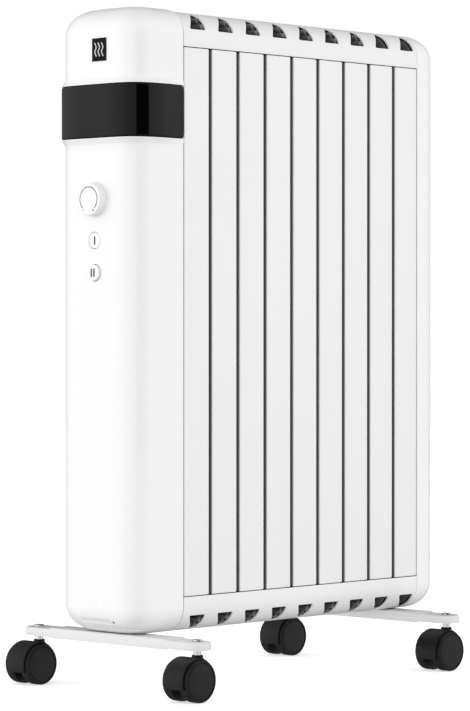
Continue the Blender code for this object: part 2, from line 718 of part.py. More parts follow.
def foot(name, y):
    """Steel bar across the heater: a channel in the middle and a flat pad at each end."""
    ends = (arc((STEM_X, y), FOOT_HALF_WIDTH, -90, 90, 8)
            + arc((-STEM_X, y), FOOT_HALF_WIDTH, 90, 270, 8))
    bar = prism(name, ends, PAD_LOW, PAD_HIGH, FOOT_WHITE)
    join_on(bar, box(name + "_middle", (-BAR_HALF_LENGTH, y - FOOT_HALF_WIDTH, BAR_LOW),
                     (BAR_HALF_LENGTH, y + FOOT_HALF_WIDTH, BODY_BOTTOM - GAP), None))
    cut_away(bar, box(name + "_channel",
                      (FOOT_WALL - BAR_HALF_LENGTH, y - FOOT_HALF_WIDTH + FOOT_WALL,
                       BAR_LOW - OVERCUT),
                      (BAR_HALF_LENGTH - FOOT_WALL, y + FOOT_HALF_WIDTH - FOOT_WALL,
                       BODY_BOTTOM - GAP - FOOT_WALL), None))
    for side in (-1, 1):
        cut_away(
            bar,
            rod(name + "_stem_hole", STEM_RADIUS + 2 * GAP, *FOOT_DRILL,
                (side * STEM_X, y, 0), "Z", None, SMALL_STEPS),
            rod(name + "_screw_hole", FOOT_SCREW_HOLE, *FOOT_DRILL,
                (side * FOOT_SCREW_X, y, 0), "Z", None, SCREW_STEPS),
        )
    return bar


def foot_screw(name, x, y):
    """Pan-head screw from inside the channel up into the body above."""
    under = FOOT_SCREW_HEAD_TOP
    turned(name, [
        (0.0, FOOT_SCREW_TOP), (FOOT_SCREW_TIP, FOOT_SCREW_TOP - FOOT_SCREW_TAPER[0]),
        (FOOT_SCREW_RADIUS, FOOT_SCREW_TOP - FOOT_SCREW_TAPER[1]), (FOOT_SCREW_RADIUS, under),
        (FOOT_SCREW_HEAD, under), (FOOT_SCREW_HEAD, under - FOOT_SCREW_HEAD_EDGE),
        (FOOT_SCREW_HEAD_FACE, under - FOOT_SCREW_HEAD_DEPTH),
        (0.0, under - FOOT_SCREW_HEAD_DEPTH),
    ], (x, y, 0), "Z", BARE_STEEL, SCREW_STEPS)


# ---- casters ------------------------------------------------------------

GUARD_FROM = -15             # degrees round the axle, from the side away from the stem
GUARD_TO = 200
GUARD_STEPS = 16
HOOD_WEB_HALF = 0.0045
HOOD_WEB_RADIUS = HOOD_INNER + 0.0007
COLLAR_LOW = 0.0235
STEM_LOW = 0.026
STEM_HOLE_LOW = 0.0255
STEM_HOLE_HIGH = 0.05
STEM_HEAD = 0.0050
STEM_HEAD_FACE = 0.0035
STEM_HEAD_EDGE = 0.0009
AXLE_HALF_LENGTH = 0.0142
AXLE_DRILL = 0.02
WHEEL_EDGE = 0.0018
WHEEL_FACE_WALL = 0.0020


def caster_hood_pattern():
    """Black hood: a curved guard over both wheels, a web between them and a stem collar."""
    middle = (-CASTER_TRAIL, WHEEL_RADIUS)
    guard = (arc(middle, HOOD_OUTER, GUARD_FROM, GUARD_TO, GUARD_STEPS)
             + list(reversed(arc(middle, HOOD_INNER, GUARD_FROM, GUARD_TO, GUARD_STEPS))))
    hood = prism("hood_pattern", guard, -HOOD_HALF_WIDTH, HOOD_HALF_WIDTH, None, axis="X")
    web = arc(middle, HOOD_WEB_RADIUS, GUARD_FROM, GUARD_TO, GUARD_STEPS // 2)
    join_on(
        hood,
        prism("hood_web", web, -HOOD_WEB_HALF, HOOD_WEB_HALF, None, axis="X"),
        rod("hood_collar", COLLAR_RADIUS, COLLAR_LOW, COLLAR_TOP, (0, 0, 0), "Z", None,
            SMALL_STEPS),
    )
    cut_away(
        hood,
        rod("hood_stem_hole", STEM_RADIUS + 2 * GAP, STEM_HOLE_LOW, STEM_HOLE_HIGH, (0, 0, 0),
            "Z", None, SMALL_STEPS),
        rod("hood_axle_hole", AXLE_RADIUS + 2 * GAP, -AXLE_DRILL, AXLE_DRILL,
            (0, -CASTER_TRAIL, WHEEL_RADIUS), "X", None, SCREW_STEPS),
    )
    return evaluated_mesh(hood, "caster_hood")


def wheel(name, side, stem_x, stem_y):
    """Moulded wheel with a dished outer face and a blind axle bore."""
    flat = WHEEL_RADIUS / math.cos(math.pi / ROUND_STEPS)
    outer, inner, bore = WHEEL_OUTER_X, WHEEL_INNER_X, AXLE_RADIUS + 2 * GAP
    turned(name, [
        (0.0, outer), (flat - WHEEL_EDGE, outer), (flat, outer - WHEEL_EDGE),
        (flat, inner), (bore, inner), (bore, outer - WHEEL_FACE_WALL),
        (0.0, outer - WHEEL_FACE_WALL),
    ], (stem_x, stem_y - CASTER_TRAIL, WHEEL_RADIUS), "X" if side > 0 else "-X", CASTER_BLACK)


def caster(prefix, x, y, hood_mesh):
    turned(prefix + "_stem", [
        (0.0, PAD_HIGH + 2 * STEM_HEAD_EDGE), (STEM_HEAD_FACE, PAD_HIGH + 2 * STEM_HEAD_EDGE),
        (STEM_HEAD, PAD_HIGH + STEM_HEAD_EDGE), (STEM_HEAD, PAD_HIGH + GAP),
        (STEM_RADIUS, PAD_HIGH + GAP), (STEM_RADIUS, STEM_LOW), (0.0, STEM_LOW),
    ], (x, y, 0), "Z", BARE_STEEL, SMALL_STEPS)
    place_object(prefix + "_hood", hood_mesh, CASTER_BLACK, Matrix.Translation((x, y, 0)))
    rod(prefix + "_axle", AXLE_RADIUS, -AXLE_HALF_LENGTH, AXLE_HALF_LENGTH,
        (x, y - CASTER_TRAIL, WHEEL_RADIUS), "X", BARE_STEEL, SCREW_STEPS)
    wheel(prefix + "_wheel_right", 1, x, y)
    wheel(prefix + "_wheel_left", -1, x, y)


# ---- assembly -----------------------------------------------------------

oil_circuit()
vented_cover("top_cover", True)
foot_holes(vented_cover("bottom_cover", False), REAR_FOOT_Y)
foot_holes(control_housing(), FRONT_FOOT_Y)
handle_band()
badge()
controls()
rear_cap()
hood_mesh = caster_hood_pattern()
for end, foot_y in (("front", FRONT_FOOT_Y), ("rear", REAR_FOOT_Y)):
    foot(end + "_foot", foot_y)
    for label, side in (("left", -1), ("right", 1)):
        foot_screw(f"{end}_foot_screw_{label}", side * FOOT_SCREW_X, foot_y)
        caster(f"{end}_{label}_caster", side * STEM_X, foot_y, hood_mesh)
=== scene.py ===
import math

import bmesh
import bpy
import numpy as np
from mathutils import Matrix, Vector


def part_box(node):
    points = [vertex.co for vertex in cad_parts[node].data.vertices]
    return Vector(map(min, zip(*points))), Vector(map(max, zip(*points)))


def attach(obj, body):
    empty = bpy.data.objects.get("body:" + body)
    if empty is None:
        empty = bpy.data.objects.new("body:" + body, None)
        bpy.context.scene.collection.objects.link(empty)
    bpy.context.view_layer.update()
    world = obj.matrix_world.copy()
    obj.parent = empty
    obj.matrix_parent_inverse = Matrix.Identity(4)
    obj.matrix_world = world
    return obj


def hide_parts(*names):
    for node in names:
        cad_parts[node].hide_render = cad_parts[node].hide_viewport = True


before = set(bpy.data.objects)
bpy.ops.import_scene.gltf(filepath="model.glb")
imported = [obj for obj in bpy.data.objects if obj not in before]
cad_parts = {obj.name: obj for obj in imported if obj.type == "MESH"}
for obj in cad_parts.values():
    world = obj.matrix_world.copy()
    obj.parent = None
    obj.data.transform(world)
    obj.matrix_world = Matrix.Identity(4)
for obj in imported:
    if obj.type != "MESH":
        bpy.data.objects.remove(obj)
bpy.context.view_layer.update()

# ---- the fins ---------------------------------------------------------------
# Each fin is a thin steel web with a folded channel of sheet welded along either side, and two
# short galleries through it that carry the oil.  The channels are sprayed white and baked, greyed
# deep in their folds as painted shade for the gaps between them; the webs are near black as
# painted shade for the dark inside, and their beads whiter than the panels as painted light.
# Nine fins, welded gallery to gallery, make the body of the heater.

FIN_NAMES = [f"fin_{number}" for number in range(1, 10)]
SHEET = 0.001
FOLD_RADIUS = 0.0011
PANEL_HALF = 0.0172          # half the width of one panel face
RETURN_FLANGE = 0.009
END_CURL = 0.0013            # rolled-in ends of each channel
WEB_SET_BACK = 0.0135        # the ends of the web stand this far to the rear of its middle
WEB_CLEAR = 0.0035           # room left between the web and the skins round it
WEB_BEND_HEIGHTS = (0.112, 0.600)
WEB_ROWS = 24                # rows of faces that follow the rounding at each end of the web
PANEL_SEAM = 0.0006          # gap between the panels and the covers
BEAD_HALF_HEIGHT = 0.00175   # rolled beads across each end of the web, whiter than the panels as painted light
BEADS_HIGH = (0.6419, 0.6485)
BEADS_LOW = (0.0683, 0.0637)
LAST_BEADED_FIN = 7
GALLERY_RADIUS = 0.015
GALLERY_HEIGHTS = (0.125, 0.590)
COVER_ROUND = 0.026          # rounding along the top and the bottom edges of the whole body
PANEL_WHITE = (0.835, 0.838, 0.842, 1.0)
# Painted shade: the folds grey deep inside, for the dark gaps between the panels.
GAP_SHADE_GREY = (0.16, 0.16, 0.165, 1.0)
GAP_SHADE_FROM_X = 0.0549  # painted shade: the folds start to grey this far round
GAP_SHADE_TO_X = 0.0526
# Painted shade: the webs are near black for the dark inside of the body.
WEB_SHADE_BLACK = (0.003, 0.003, 0.0033, 1.0)
# Painted light: the beads are whiter than the panels' white.
BEAD_LIT_WHITE = (0.95, 0.95, 0.95, 1.0)


def lie_grids(name, *grids, shades=None, outward=True):
    """A piece made of grids of points, each rows by columns by (x, y, z).

    Every four neighbouring points make a face; points that meet are merged, so seams and poles
    close.  shades gives each grid the number of its finish.
    """
    points = []
    faces = []
    shade = []
    start = 0
    for turn, grid in enumerate(grids):
        rows, columns = grid.shape[:2]
        number = start + np.arange(rows * columns).reshape(rows, columns)
        corners = (number[:-1, :-1], number[:-1, 1:], number[1:, 1:], number[1:, :-1])
        quads = np.stack(corners, axis=-1).reshape(-1, 4)
        points.append(grid.reshape(-1, 3))
        faces.append(quads)
        shade.append(np.full(len(quads), shades[turn] if shades else 0))
        start += rows * columns
    mesh = bpy.data.meshes.new(name)
    mesh.from_pydata(np.concatenate(points), [], np.concatenate(faces).tolist())
    mesh.polygons.foreach_set("material_index", np.concatenate(shade).astype(np.int32))
    merged = bmesh.new()
    merged.from_mesh(mesh)
    bmesh.ops.remove_doubles(merged, verts=merged.verts, dist=0.000002)
    if outward:
        bmesh.ops.recalc_face_normals(merged, faces=merged.faces)
    merged.to_mesh(mesh)
    merged.free()
    piece = bpy.data.objects.new(name, mesh)
    bpy.context.scene.collection.objects.link(piece)
    return piece


def press(piece, angle=32.0):
    """Fixes the piece's modifiers into its mesh and shades it smooth, but for edges past angle."""
    bpy.context.view_layer.update()
    graph = bpy.context.evaluated_depsgraph_get()
    mesh = bpy.data.meshes.new_from_object(piece.evaluated_get(graph))
    piece.modifiers.clear()
    piece.data = mesh
    mesh.shade_smooth()
    mesh.set_sharp_from_angle(angle=math.radians(angle))
    return piece


def thicken(piece, wall, inner_shade=0, even=True):
    """Gives an open skin its wall, laid inwards from the outer face.  An even wall keeps its
    thickness round corners, which throws spikes at very sharp ones."""
    solid = piece.modifiers.new("wall", "SOLIDIFY")
    solid.thickness = wall
    solid.offset = -1.0
    solid.use_even_offset = even
    solid.material_offset = inner_shade
    return piece


def quarter(steps):
    """Angles from nought to a right angle, evenly spaced."""
    return np.linspace(0.0, math.pi / 2, steps)


def channel_skin(side, outer_x, middle_y, low, high):
    """Outer skin of one folded channel: a flange, a fold, the flat panel, a fold and a flange.

    In plan that is a straight, a quarter circle, a straight and the same again.  Near its two
    ends the skin is pulled in along a quarter circle:
    pull = curl - sqrt(curl^2 - (curl - distance from the end)^2).
    """
    near = END_CURL * (1 - np.cos(quarter(5)))
    height = np.concatenate([low + near, high - near[::-1]])
    distance = np.minimum(np.minimum(height - low, high - height), END_CURL)
    pull = END_CURL - np.sqrt(END_CURL ** 2 - (END_CURL - distance) ** 2)
    fold = quarter(6)
    in_x = np.concatenate([[-RETURN_FLANGE], FOLD_RADIUS * (np.sin(fold) - 1),
                           FOLD_RADIUS * (np.cos(fold) - 1), [-RETURN_FLANGE]])
    along_y = np.concatenate([[-PANEL_HALF], -PANEL_HALF + FOLD_RADIUS * (1 - np.cos(fold)),
                              PANEL_HALF + FOLD_RADIUS * (np.sin(fold) - 1), [PANEL_HALF]])
    shrink = 1 - pull / PANEL_HALF
    grid = np.empty((len(height), len(in_x), 3))
    grid[:, :, 0] = side * (outer_x + in_x[None, :] - pull[:, None])
    grid[:, :, 1] = middle_y + along_y[None, :] * shrink[:, None]
    grid[:, :, 2] = height[:, None]
    return grid if side > 0 else grid[:, ::-1]


def room_inside(height, spare):
    """Half the width free inside the rounded body at a height, less what is spare.

    Between the roundings it is the straight half width; within one it follows a circle:
    half = flat + sqrt(radius^2 - rise^2).
    """
    low, high = cad_low_high("bottom_cover", "top_cover")
    flat = high.x - COVER_ROUND
    rise = np.maximum(height - (high.z - COVER_ROUND), (low.z + COVER_ROUND) - height)
    circle = COVER_ROUND - spare
    return flat + np.sqrt(np.maximum(circle ** 2 - np.maximum(rise, 0.0) ** 2, 0.0))


def cad_low_high(lower_node, upper_node):
    """Lowest corner of one CAD node and highest corner of another."""
    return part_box(lower_node)[0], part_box(upper_node)[1]


def web_skin(middle_y, heights):
    """A stretch of web straight across the heater, as wide as the room inside."""
    across = np.linspace(-1.0, 1.0, 3)
    half = room_inside(heights, WEB_CLEAR)
    grid = np.empty((len(heights), len(across), 3))
    grid[:, :, 0] = across[None, :] * half[:, None]
    grid[:, :, 1] = middle_y
    grid[:, :, 2] = heights[:, None]
    return grid[:, ::-1]


def bead_skin(face_y, height):
    """One bead: a round section carried straight across, closed to a point at both ends."""
    turn = np.linspace(0, 2 * math.pi, 17)
    half = float(room_inside(np.array([height]), WEB_CLEAR)[0])
    along = np.array([-half, -half, half, half])
    swell = BEAD_HALF_HEIGHT * np.array([0.0, 1.0, 1.0, 0.0])
    grid = np.empty((len(along), len(turn), 3))
    grid[:, :, 0] = along[:, None]
    grid[:, :, 1] = face_y - swell[:, None] * np.cos(turn)[None, :]
    grid[:, :, 2] = height + swell[:, None] * np.sin(turn)[None, :]
    return grid


def gallery_skin(from_y, to_y, height, radius):
    """Short round tube along Y: a circle in X and Z carried from one end to the other."""
    turn = np.linspace(0, 2 * math.pi, 33)
    grid = np.empty((2, len(turn), 3))
    grid[:, :, 0] = radius * np.cos(turn)[None, :]
    grid[:, :, 1] = np.array([from_y, to_y])[:, None]
    grid[:, :, 2] = height + radius * np.sin(turn)[None, :]
    return grid


def feed(tree, socket, value):
    """Links an output into a socket, or sets the socket to a plain value."""
    if isinstance(value, bpy.types.NodeSocket):
        tree.links.new(value, socket)
    else:
        socket.default_value = value


def add(tree, kind, options=None, **values):
    """A shader node with its options set; each value is a number, a colour or another node's
    output, and goes to the input of that name, with _ for a space."""
    made = tree.nodes.new("ShaderNode" + kind)
    for option, choice in (options or {}).items():
        setattr(made, option, choice)
    for name, value in values.items():
        feed(tree, made.inputs[name.replace("_", " ")], value)
    return made


def reckon(tree, operation, *values):
    """The result of one maths node."""
    made = tree.nodes.new("ShaderNodeMath")
    made.operation = operation
    for socket, value in zip(made.inputs, values):
        feed(tree, socket, value)
    return made.outputs[0]


def between(tree, value, low, high, to_low=0.0, to_high=1.0):
    """The value's smooth step from low to high, given as to_low to to_high."""
    made = add(tree, "MapRange", {"interpolation_type": "SMOOTHSTEP"}, Value=value,
               From_Min=low, From_Max=high, To_Min=to_low, To_Max=to_high)
    return made.outputs["Result"]


def blended(tree, share, first, second):
    """Two colours mixed by a share."""
    made = tree.nodes.new("ShaderNodeMix")
    made.data_type = "RGBA"
    colours = [socket for socket in made.inputs if socket.type == "RGBA"]
    feed(tree, made.inputs["Factor"], share)
    feed(tree, colours[0], first)
    feed(tree, colours[1], second)
    return next(socket for socket in made.outputs if socket.type == "RGBA")


def new_group(name, inputs, outputs):
    """A node group with named inputs, which hold their first values, and named outputs."""
    group = bpy.data.node_groups.new(name, "ShaderNodeTree")
    for label, kind, value in inputs:
        socket = group.interface.new_socket(name=label, in_out="INPUT", socket_type=kind)
        socket.default_value = value
    for label, kind in outputs:
        group.interface.new_socket(name=label, in_out="OUTPUT", socket_type=kind)
    given = group.nodes.new("NodeGroupInput").outputs
    result = group.nodes.new("NodeGroupOutput").inputs
    return group, given, result


def make_fine_skin():
    """Sprayed or moulded skin: slight blotches and specks in its shade, handling marks in its
    gloss, and the shallow peel of paint or mould grain as a bump."""
    group, given, result = new_group("fine_skin", [
        ("Color", "NodeSocketColor", (0.8, 0.8, 0.8, 1.0)),
        ("Roughness", "NodeSocketFloat", 0.4),
        ("Grain Scale", "NodeSocketFloat", 700.0),
        ("Grain Depth", "NodeSocketFloat", 0.00002),
        ("Blotches", "NodeSocketFloat", 0.03),
        ("Handling", "NodeSocketFloat", 0.08),
    ], [("Color", "NodeSocketColor"), ("Roughness", "NodeSocketFloat"),
        ("Normal", "NodeSocketVector")])
    place = add(group, "TexCoord").outputs["Object"]
    broad = add(group, "TexNoise", Vector=place, Scale=11.0, Detail=3.0)
    marks = add(group, "TexNoise", Vector=place, Scale=55.0, Detail=5.0, Roughness=0.62)
    specks = add(group, "TexNoise", Vector=place, Scale=2600.0, Detail=1.0)
    grain = add(group, "TexNoise", Vector=place, Scale=given["Grain Scale"], Detail=2.0)
    patch = between(group, broad.outputs[0], 0.35, 0.68)
    speck = between(group, specks.outputs[0], 0.70, 0.76, 0.0, 0.55)
    darkening = reckon(group, "MULTIPLY", reckon(group, "ADD", patch, speck), given["Blotches"])
    keep = reckon(group, "SUBTRACT", 1.0, darkening)
    dimmed = add(group, "VectorMath", {"operation": "SCALE"}, Vector=given["Color"], Scale=keep)
    feed(group, result["Color"], dimmed.outputs["Vector"])
    centred = reckon(group, "SUBTRACT", marks.outputs[0], 0.5)
    rub = reckon(group, "MULTIPLY", centred, given["Handling"])
    feed(group, result["Roughness"], reckon(group, "ADD", given["Roughness"], rub))
    bump = add(group, "Bump", Height=grain.outputs[0], Distance=given["Grain Depth"])
    feed(group, result["Normal"], bump.outputs["Normal"])
    return group


def make_settled_dust():
    """Share of dust: most on faces that look up, broken up by noise."""
    group, given, result = new_group("settled_dust", [("Amount", "NodeSocketFloat", 0.3)],
                                     [("Share", "NodeSocketFloat")])
    facing = add(group, "SeparateXYZ", Vector=add(group, "NewGeometry").outputs["Normal"])
    lying = between(group, facing.outputs["Z"], 0.35, 1.0)
    place = add(group, "TexCoord").outputs["Object"]
    drift = add(group, "TexNoise", Vector=place, Scale=130.0, Detail=6.0, Roughness=0.7)
    share = reckon(group, "MULTIPLY", lying, between(group, drift.outputs[0], 0.38, 0.66))
    feed(group, result["Share"], reckon(group, "MULTIPLY", share, given["Amount"]))
    return group


FINE_SKIN = make_fine_skin()
SETTLED_DUST = make_settled_dust()
DUST_GREY = (0.56, 0.54, 0.50, 1.0)


def finish_of(name, colour, roughness, grain=(700.0, 0.00002), blotches=0.03, handling=0.08,
              dust=0.0, paint=None, **sockets):
    """A piece's finish: its colour through the fine skin, dust on top, and the shader's own
    plain values.  grain is its scale and its depth.  paint(tree, colour) may first lay a print,
    a wear mark or painted shade over the colour."""
    finish = bpy.data.materials.new(name)
    finish.use_nodes = True
    tree = finish.node_tree
    shader = tree.nodes["Principled BSDF"]
    skin = tree.nodes.new("ShaderNodeGroup")
    skin.node_tree = FINE_SKIN
    feed(tree, skin.inputs["Color"], paint(tree, colour) if paint else colour)
    feed(tree, skin.inputs["Roughness"], roughness)
    feed(tree, skin.inputs["Grain Scale"], grain[0])
    feed(tree, skin.inputs["Grain Depth"], grain[1])
    feed(tree, skin.inputs["Blotches"], blotches)
    feed(tree, skin.inputs["Handling"], handling)
    shade = skin.outputs["Color"]
    if dust:
        lying = tree.nodes.new("ShaderNodeGroup")
        lying.node_tree = SETTLED_DUST
        feed(tree, lying.inputs["Amount"], dust)
        shade = blended(tree, lying.outputs["Share"], shade, DUST_GREY)
    feed(tree, shader.inputs["Base Color"], shade)
    feed(tree, shader.inputs["Roughness"], skin.outputs["Roughness"])
    feed(tree, shader.inputs["Normal"], skin.outputs["Normal"])
    for socket, value in sockets.items():
        shader.inputs[socket.replace("_", " ")].default_value = value
    return finish


def shade_in_the_folds(tree, colour):
    """Painted shade inside the folds, for the dark gaps between panels: greyer as |x| falls from
    the face inwards.
    """
    place = add(tree, "SeparateXYZ", Vector=add(tree, "TexCoord").outputs["Object"])
    from_middle = reckon(tree, "ABSOLUTE", place.outputs["X"])
    share = between(tree, from_middle, GAP_SHADE_TO_X, GAP_SHADE_FROM_X, 1.0, 0.0)
    return blended(tree, share, colour, GAP_SHADE_GREY)


PANEL_FINISH = finish_of("baked_panel_white", PANEL_WHITE, 0.34, grain=(620.0, 0.000035),
                         blotches=0.010, handling=0.04, dust=0.08)
# The channels' white greys deep in the folds: painted shade for the gaps between panels.
FOLD_SHADE_FINISH = finish_of("baked_fold_white_gap_shade", PANEL_WHITE, 0.34, grain=(620.0, 0.000035),
                          blotches=0.010, handling=0.04, paint=shade_in_the_folds)
# The webs and galleries are near black: painted shade for the dark inside of the body.
WEB_SHADE_FINISH = finish_of("web_painted_shade_black", WEB_SHADE_BLACK, 0.8, blotches=0.4, Specular_IOR_Level=0.05)
# The beads are whiter than the panels: painted light for fin edges lit through the vents.
BEAD_LIT_FINISH = finish_of("web_bead_painted_light", BEAD_LIT_WHITE, 0.45, blotches=0.12)


def mount(piece, finishes, slot, body, *nodes):
    """Gives a piece its finishes, sets it on its body, and lets it stand for CAD nodes; slot is not
    used.
    """
    piece.data.materials.clear()
    for finish in finishes:
        piece.data.materials.append(finish)
    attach(piece, body)
    if nodes:
        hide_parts(*nodes)
    return piece


for number, node in enumerate(FIN_NAMES, start=1):
    low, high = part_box(node)
    middle_y = (low.y + high.y) / 2
    panel_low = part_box("bottom_cover")[1].z + PANEL_SEAM
    panel_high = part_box("top_cover")[0].z - PANEL_SEAM
    skins = [channel_skin(side, high.x, middle_y, panel_low, panel_high) for side in (-1, 1)]
    shades = [0, 0]
    lean = middle_y + WEB_SET_BACK
    inside_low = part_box("bottom_cover")[0].z + WEB_CLEAR
    inside_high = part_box("top_cover")[1].z - WEB_CLEAR
    skins.append(web_skin(middle_y, np.array(WEB_BEND_HEIGHTS)))
    skins.append(web_skin(lean, np.linspace(WEB_BEND_HEIGHTS[1], inside_high, WEB_ROWS)))
    skins.append(web_skin(lean, np.linspace(inside_low, WEB_BEND_HEIGHTS[0], WEB_ROWS)))
    shades += [1, 1, 1]
    for height in GALLERY_HEIGHTS:
        skins.append(gallery_skin(low.y, high.y, height, GALLERY_RADIUS))
        shades.append(1)
    if number <= LAST_BEADED_FIN:
        for height in BEADS_HIGH + BEADS_LOW:
            skins.append(bead_skin(lean, height))
            shades.append(2)
    fin = lie_grids(f"panelled_{node}", *skins, shades=shades, outward=False)
    press(thicken(fin, SHEET))
    mount(fin, (FOLD_SHADE_FINISH, WEB_SHADE_FINISH, BEAD_LIT_FINISH), "panel_white", "heater", node)

# ---- heating element, plugs and back plate ----------------------------------
# Turned steel plugs close the ends of the galleries and one holds the element, which lies in the
# oil of the lower gallery.  A galvanised plate with a safety cut-out is fixed to the first fin.

STEEL = (0.60, 0.60, 0.62, 1.0)
HEATED_STEEL = (0.46, 0.43, 0.40, 1.0)
ZINC_DARK = (0.42, 0.43, 0.45, 1.0)
BAKELITE_GREY = (0.055, 0.055, 0.058, 1.0)


def drawn_metal(tree, colour):
    """Metal that has been drawn or turned: thin streaks of a darker shade along Y."""
    place = add(tree, "TexCoord").outputs["Object"]
    along = add(tree, "Mapping", Vector=place)
    along.inputs["Scale"].default_value = (900.0, 25.0, 900.0)
    streaks = add(tree, "TexNoise", Vector=along.outputs["Vector"], Scale=1.0, Detail=3.0)
    return blended(tree, between(tree, streaks.outputs[0], 0.4, 0.7), colour, ZINC_DARK)


def spangled_zinc(tree, colour):
    """Galvanised sheet: flat crystals of slightly different greys."""
    place = add(tree, "TexCoord").outputs["Object"]
    crystals = add(tree, "TexVoronoi", Vector=place, Scale=160.0)
    tone = add(tree, "SeparateXYZ", Vector=crystals.outputs["Color"]).outputs["X"]
    return blended(tree, tone, colour, ZINC_DARK)


TURNED_STEEL = finish_of("turned_steel", STEEL, 0.28, grain=(1500.0, 0.00001),
                         paint=drawn_metal, Metallic=1.0)
HEATED_FINISH = finish_of("heated_steel", HEATED_STEEL, 0.42, grain=(500.0, 0.00003),
                          blotches=0.35, paint=drawn_metal, Metallic=1.0)
ZINC_FINISH = finish_of("galvanised_sheet", STEEL, 0.36, paint=spangled_zinc, Metallic=1.0)
BAKELITE = finish_of("moulded_bakelite", BAKELITE_GREY, 0.5, grain=(1400.0, 0.00002),
                     blotches=0.15)


def keep(finish, *nodes):
    """A CAD node whose shape is right stays as it is, with its real finish."""
    for node in nodes:
        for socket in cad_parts[node].material_slots:
            socket.material = finish


keep(HEATED_FINISH, "heating_element", "upper_front_plug", "upper_rear_plug", "lower_rear_plug")
keep(ZINC_FINISH, "housing_back_plate")
keep(BAKELITE, "thermal_cutout")

# ---- top and bottom covers --------------------------------------------------
# Two pressed steel covers close the fins above and below.  Each is bent over a round former along
# both edges, and a shark-fin opening is punched through the bend over every fin to let air pass.

COVER_WALL = 0.0018
VENT_LENGTH = 0.0222
VENT_SET_FORWARD = 0.0079    # from the middle of a fin to the front of its vent
VENT_LOW_ANGLE = {"top_cover": 18.0, "bottom_cover": 23.0}
VENT_HIGH_ANGLE = 86.0
VENT_SWEEP = 1.2
VENT_LEAN = 0.0034           # the tip of a vent leans this far to the front
CELL_SPARE = 0.006           # flat sheet taken in past the bend by the cell round each vent
POINTS_A_SIDE = 22
RIM_ROUND = 0.0004
RING_SHARES = (0.0, 0.03, 0.1, 0.25, 0.5, 0.75, 1.0)    # from the rim of a vent to its cell
# Painted shade: the covers' inside faces are near black, for the dark inside of the body.
COVER_SHADE_DARK = (0.014, 0.014, 0.015, 1.0)


def round_over(along, lateral, low, high, upward):
    """Maps a flat blank on to the bent cover.

    lateral is the distance across the blank from its middle line: flat as far as the bend, then
    a quarter circle of COVER_ROUND, then straight down the side.  along is the place in Y.
    """
    flat = high.x - COVER_ROUND
    angle = np.clip((np.abs(lateral) - flat) / COVER_ROUND, 0.0, math.pi / 2)
    beyond = np.maximum(np.abs(lateral) - flat - COVER_ROUND * math.pi / 2, 0.0)
    x = np.sign(lateral) * (np.minimum(np.abs(lateral), flat) + COVER_ROUND * np.sin(angle))
    fall = COVER_ROUND * (1 - np.cos(angle)) + beyond
    z = high.z - fall if upward else low.z + fall
    return np.stack([x, along, z], axis=-1)


def vent_rim(front_y, low_angle, flat):
    """Outline of one vent on the blank, as (along, lateral), a quarter of its points a side.

    A level lower edge, a rear edge, and a front edge swept back as
    along = front + length * height^1.2, which two of the four sides share; both edges lean to
    the front by lean * height^3.  Every corner is softened by drawing each point towards the
    mean of its neighbours.
    """
    share = np.arange(POINTS_A_SIDE) / POINTS_A_SIDE
    height = np.concatenate([0 * share, share, 1 - share / 2, 0.5 - share / 2])
    swept = VENT_LENGTH * np.maximum(height[2 * POINTS_A_SIDE:], 0.0) ** VENT_SWEEP
    along = front_y + np.concatenate([VENT_LENGTH * share, VENT_LENGTH + 0 * share, swept])
    along -= VENT_LEAN * height ** 3
    angle = np.radians(low_angle + (VENT_HIGH_ANGLE - low_angle) * height)
    rim = np.stack([along, flat + COVER_ROUND * (math.pi / 2 - angle)], axis=-1)
    for _ in range(4):
        rim = 0.5 * rim + 0.25 * (np.roll(rim, 1, axis=0) + np.roll(rim, -1, axis=0))
    return np.concatenate([rim, rim[:1]])


def cell_edge(from_y, to_y, outer, inner):
    """The four straight sides of one cell of the blank, in step with the sides of its vent."""
    share = np.arange(POINTS_A_SIDE) / POINTS_A_SIDE
    still = 0 * share
    along = np.concatenate([from_y + (to_y - from_y) * share, to_y + still,
                            to_y + (from_y - to_y) * share, from_y + still])
    lateral = np.concatenate([outer + still, outer + (inner - outer) * share,
                              inner + still, inner + (outer - inner) * share])
    edge = np.stack([along, lateral], axis=-1)
    return np.concatenate([edge, edge[:1]])


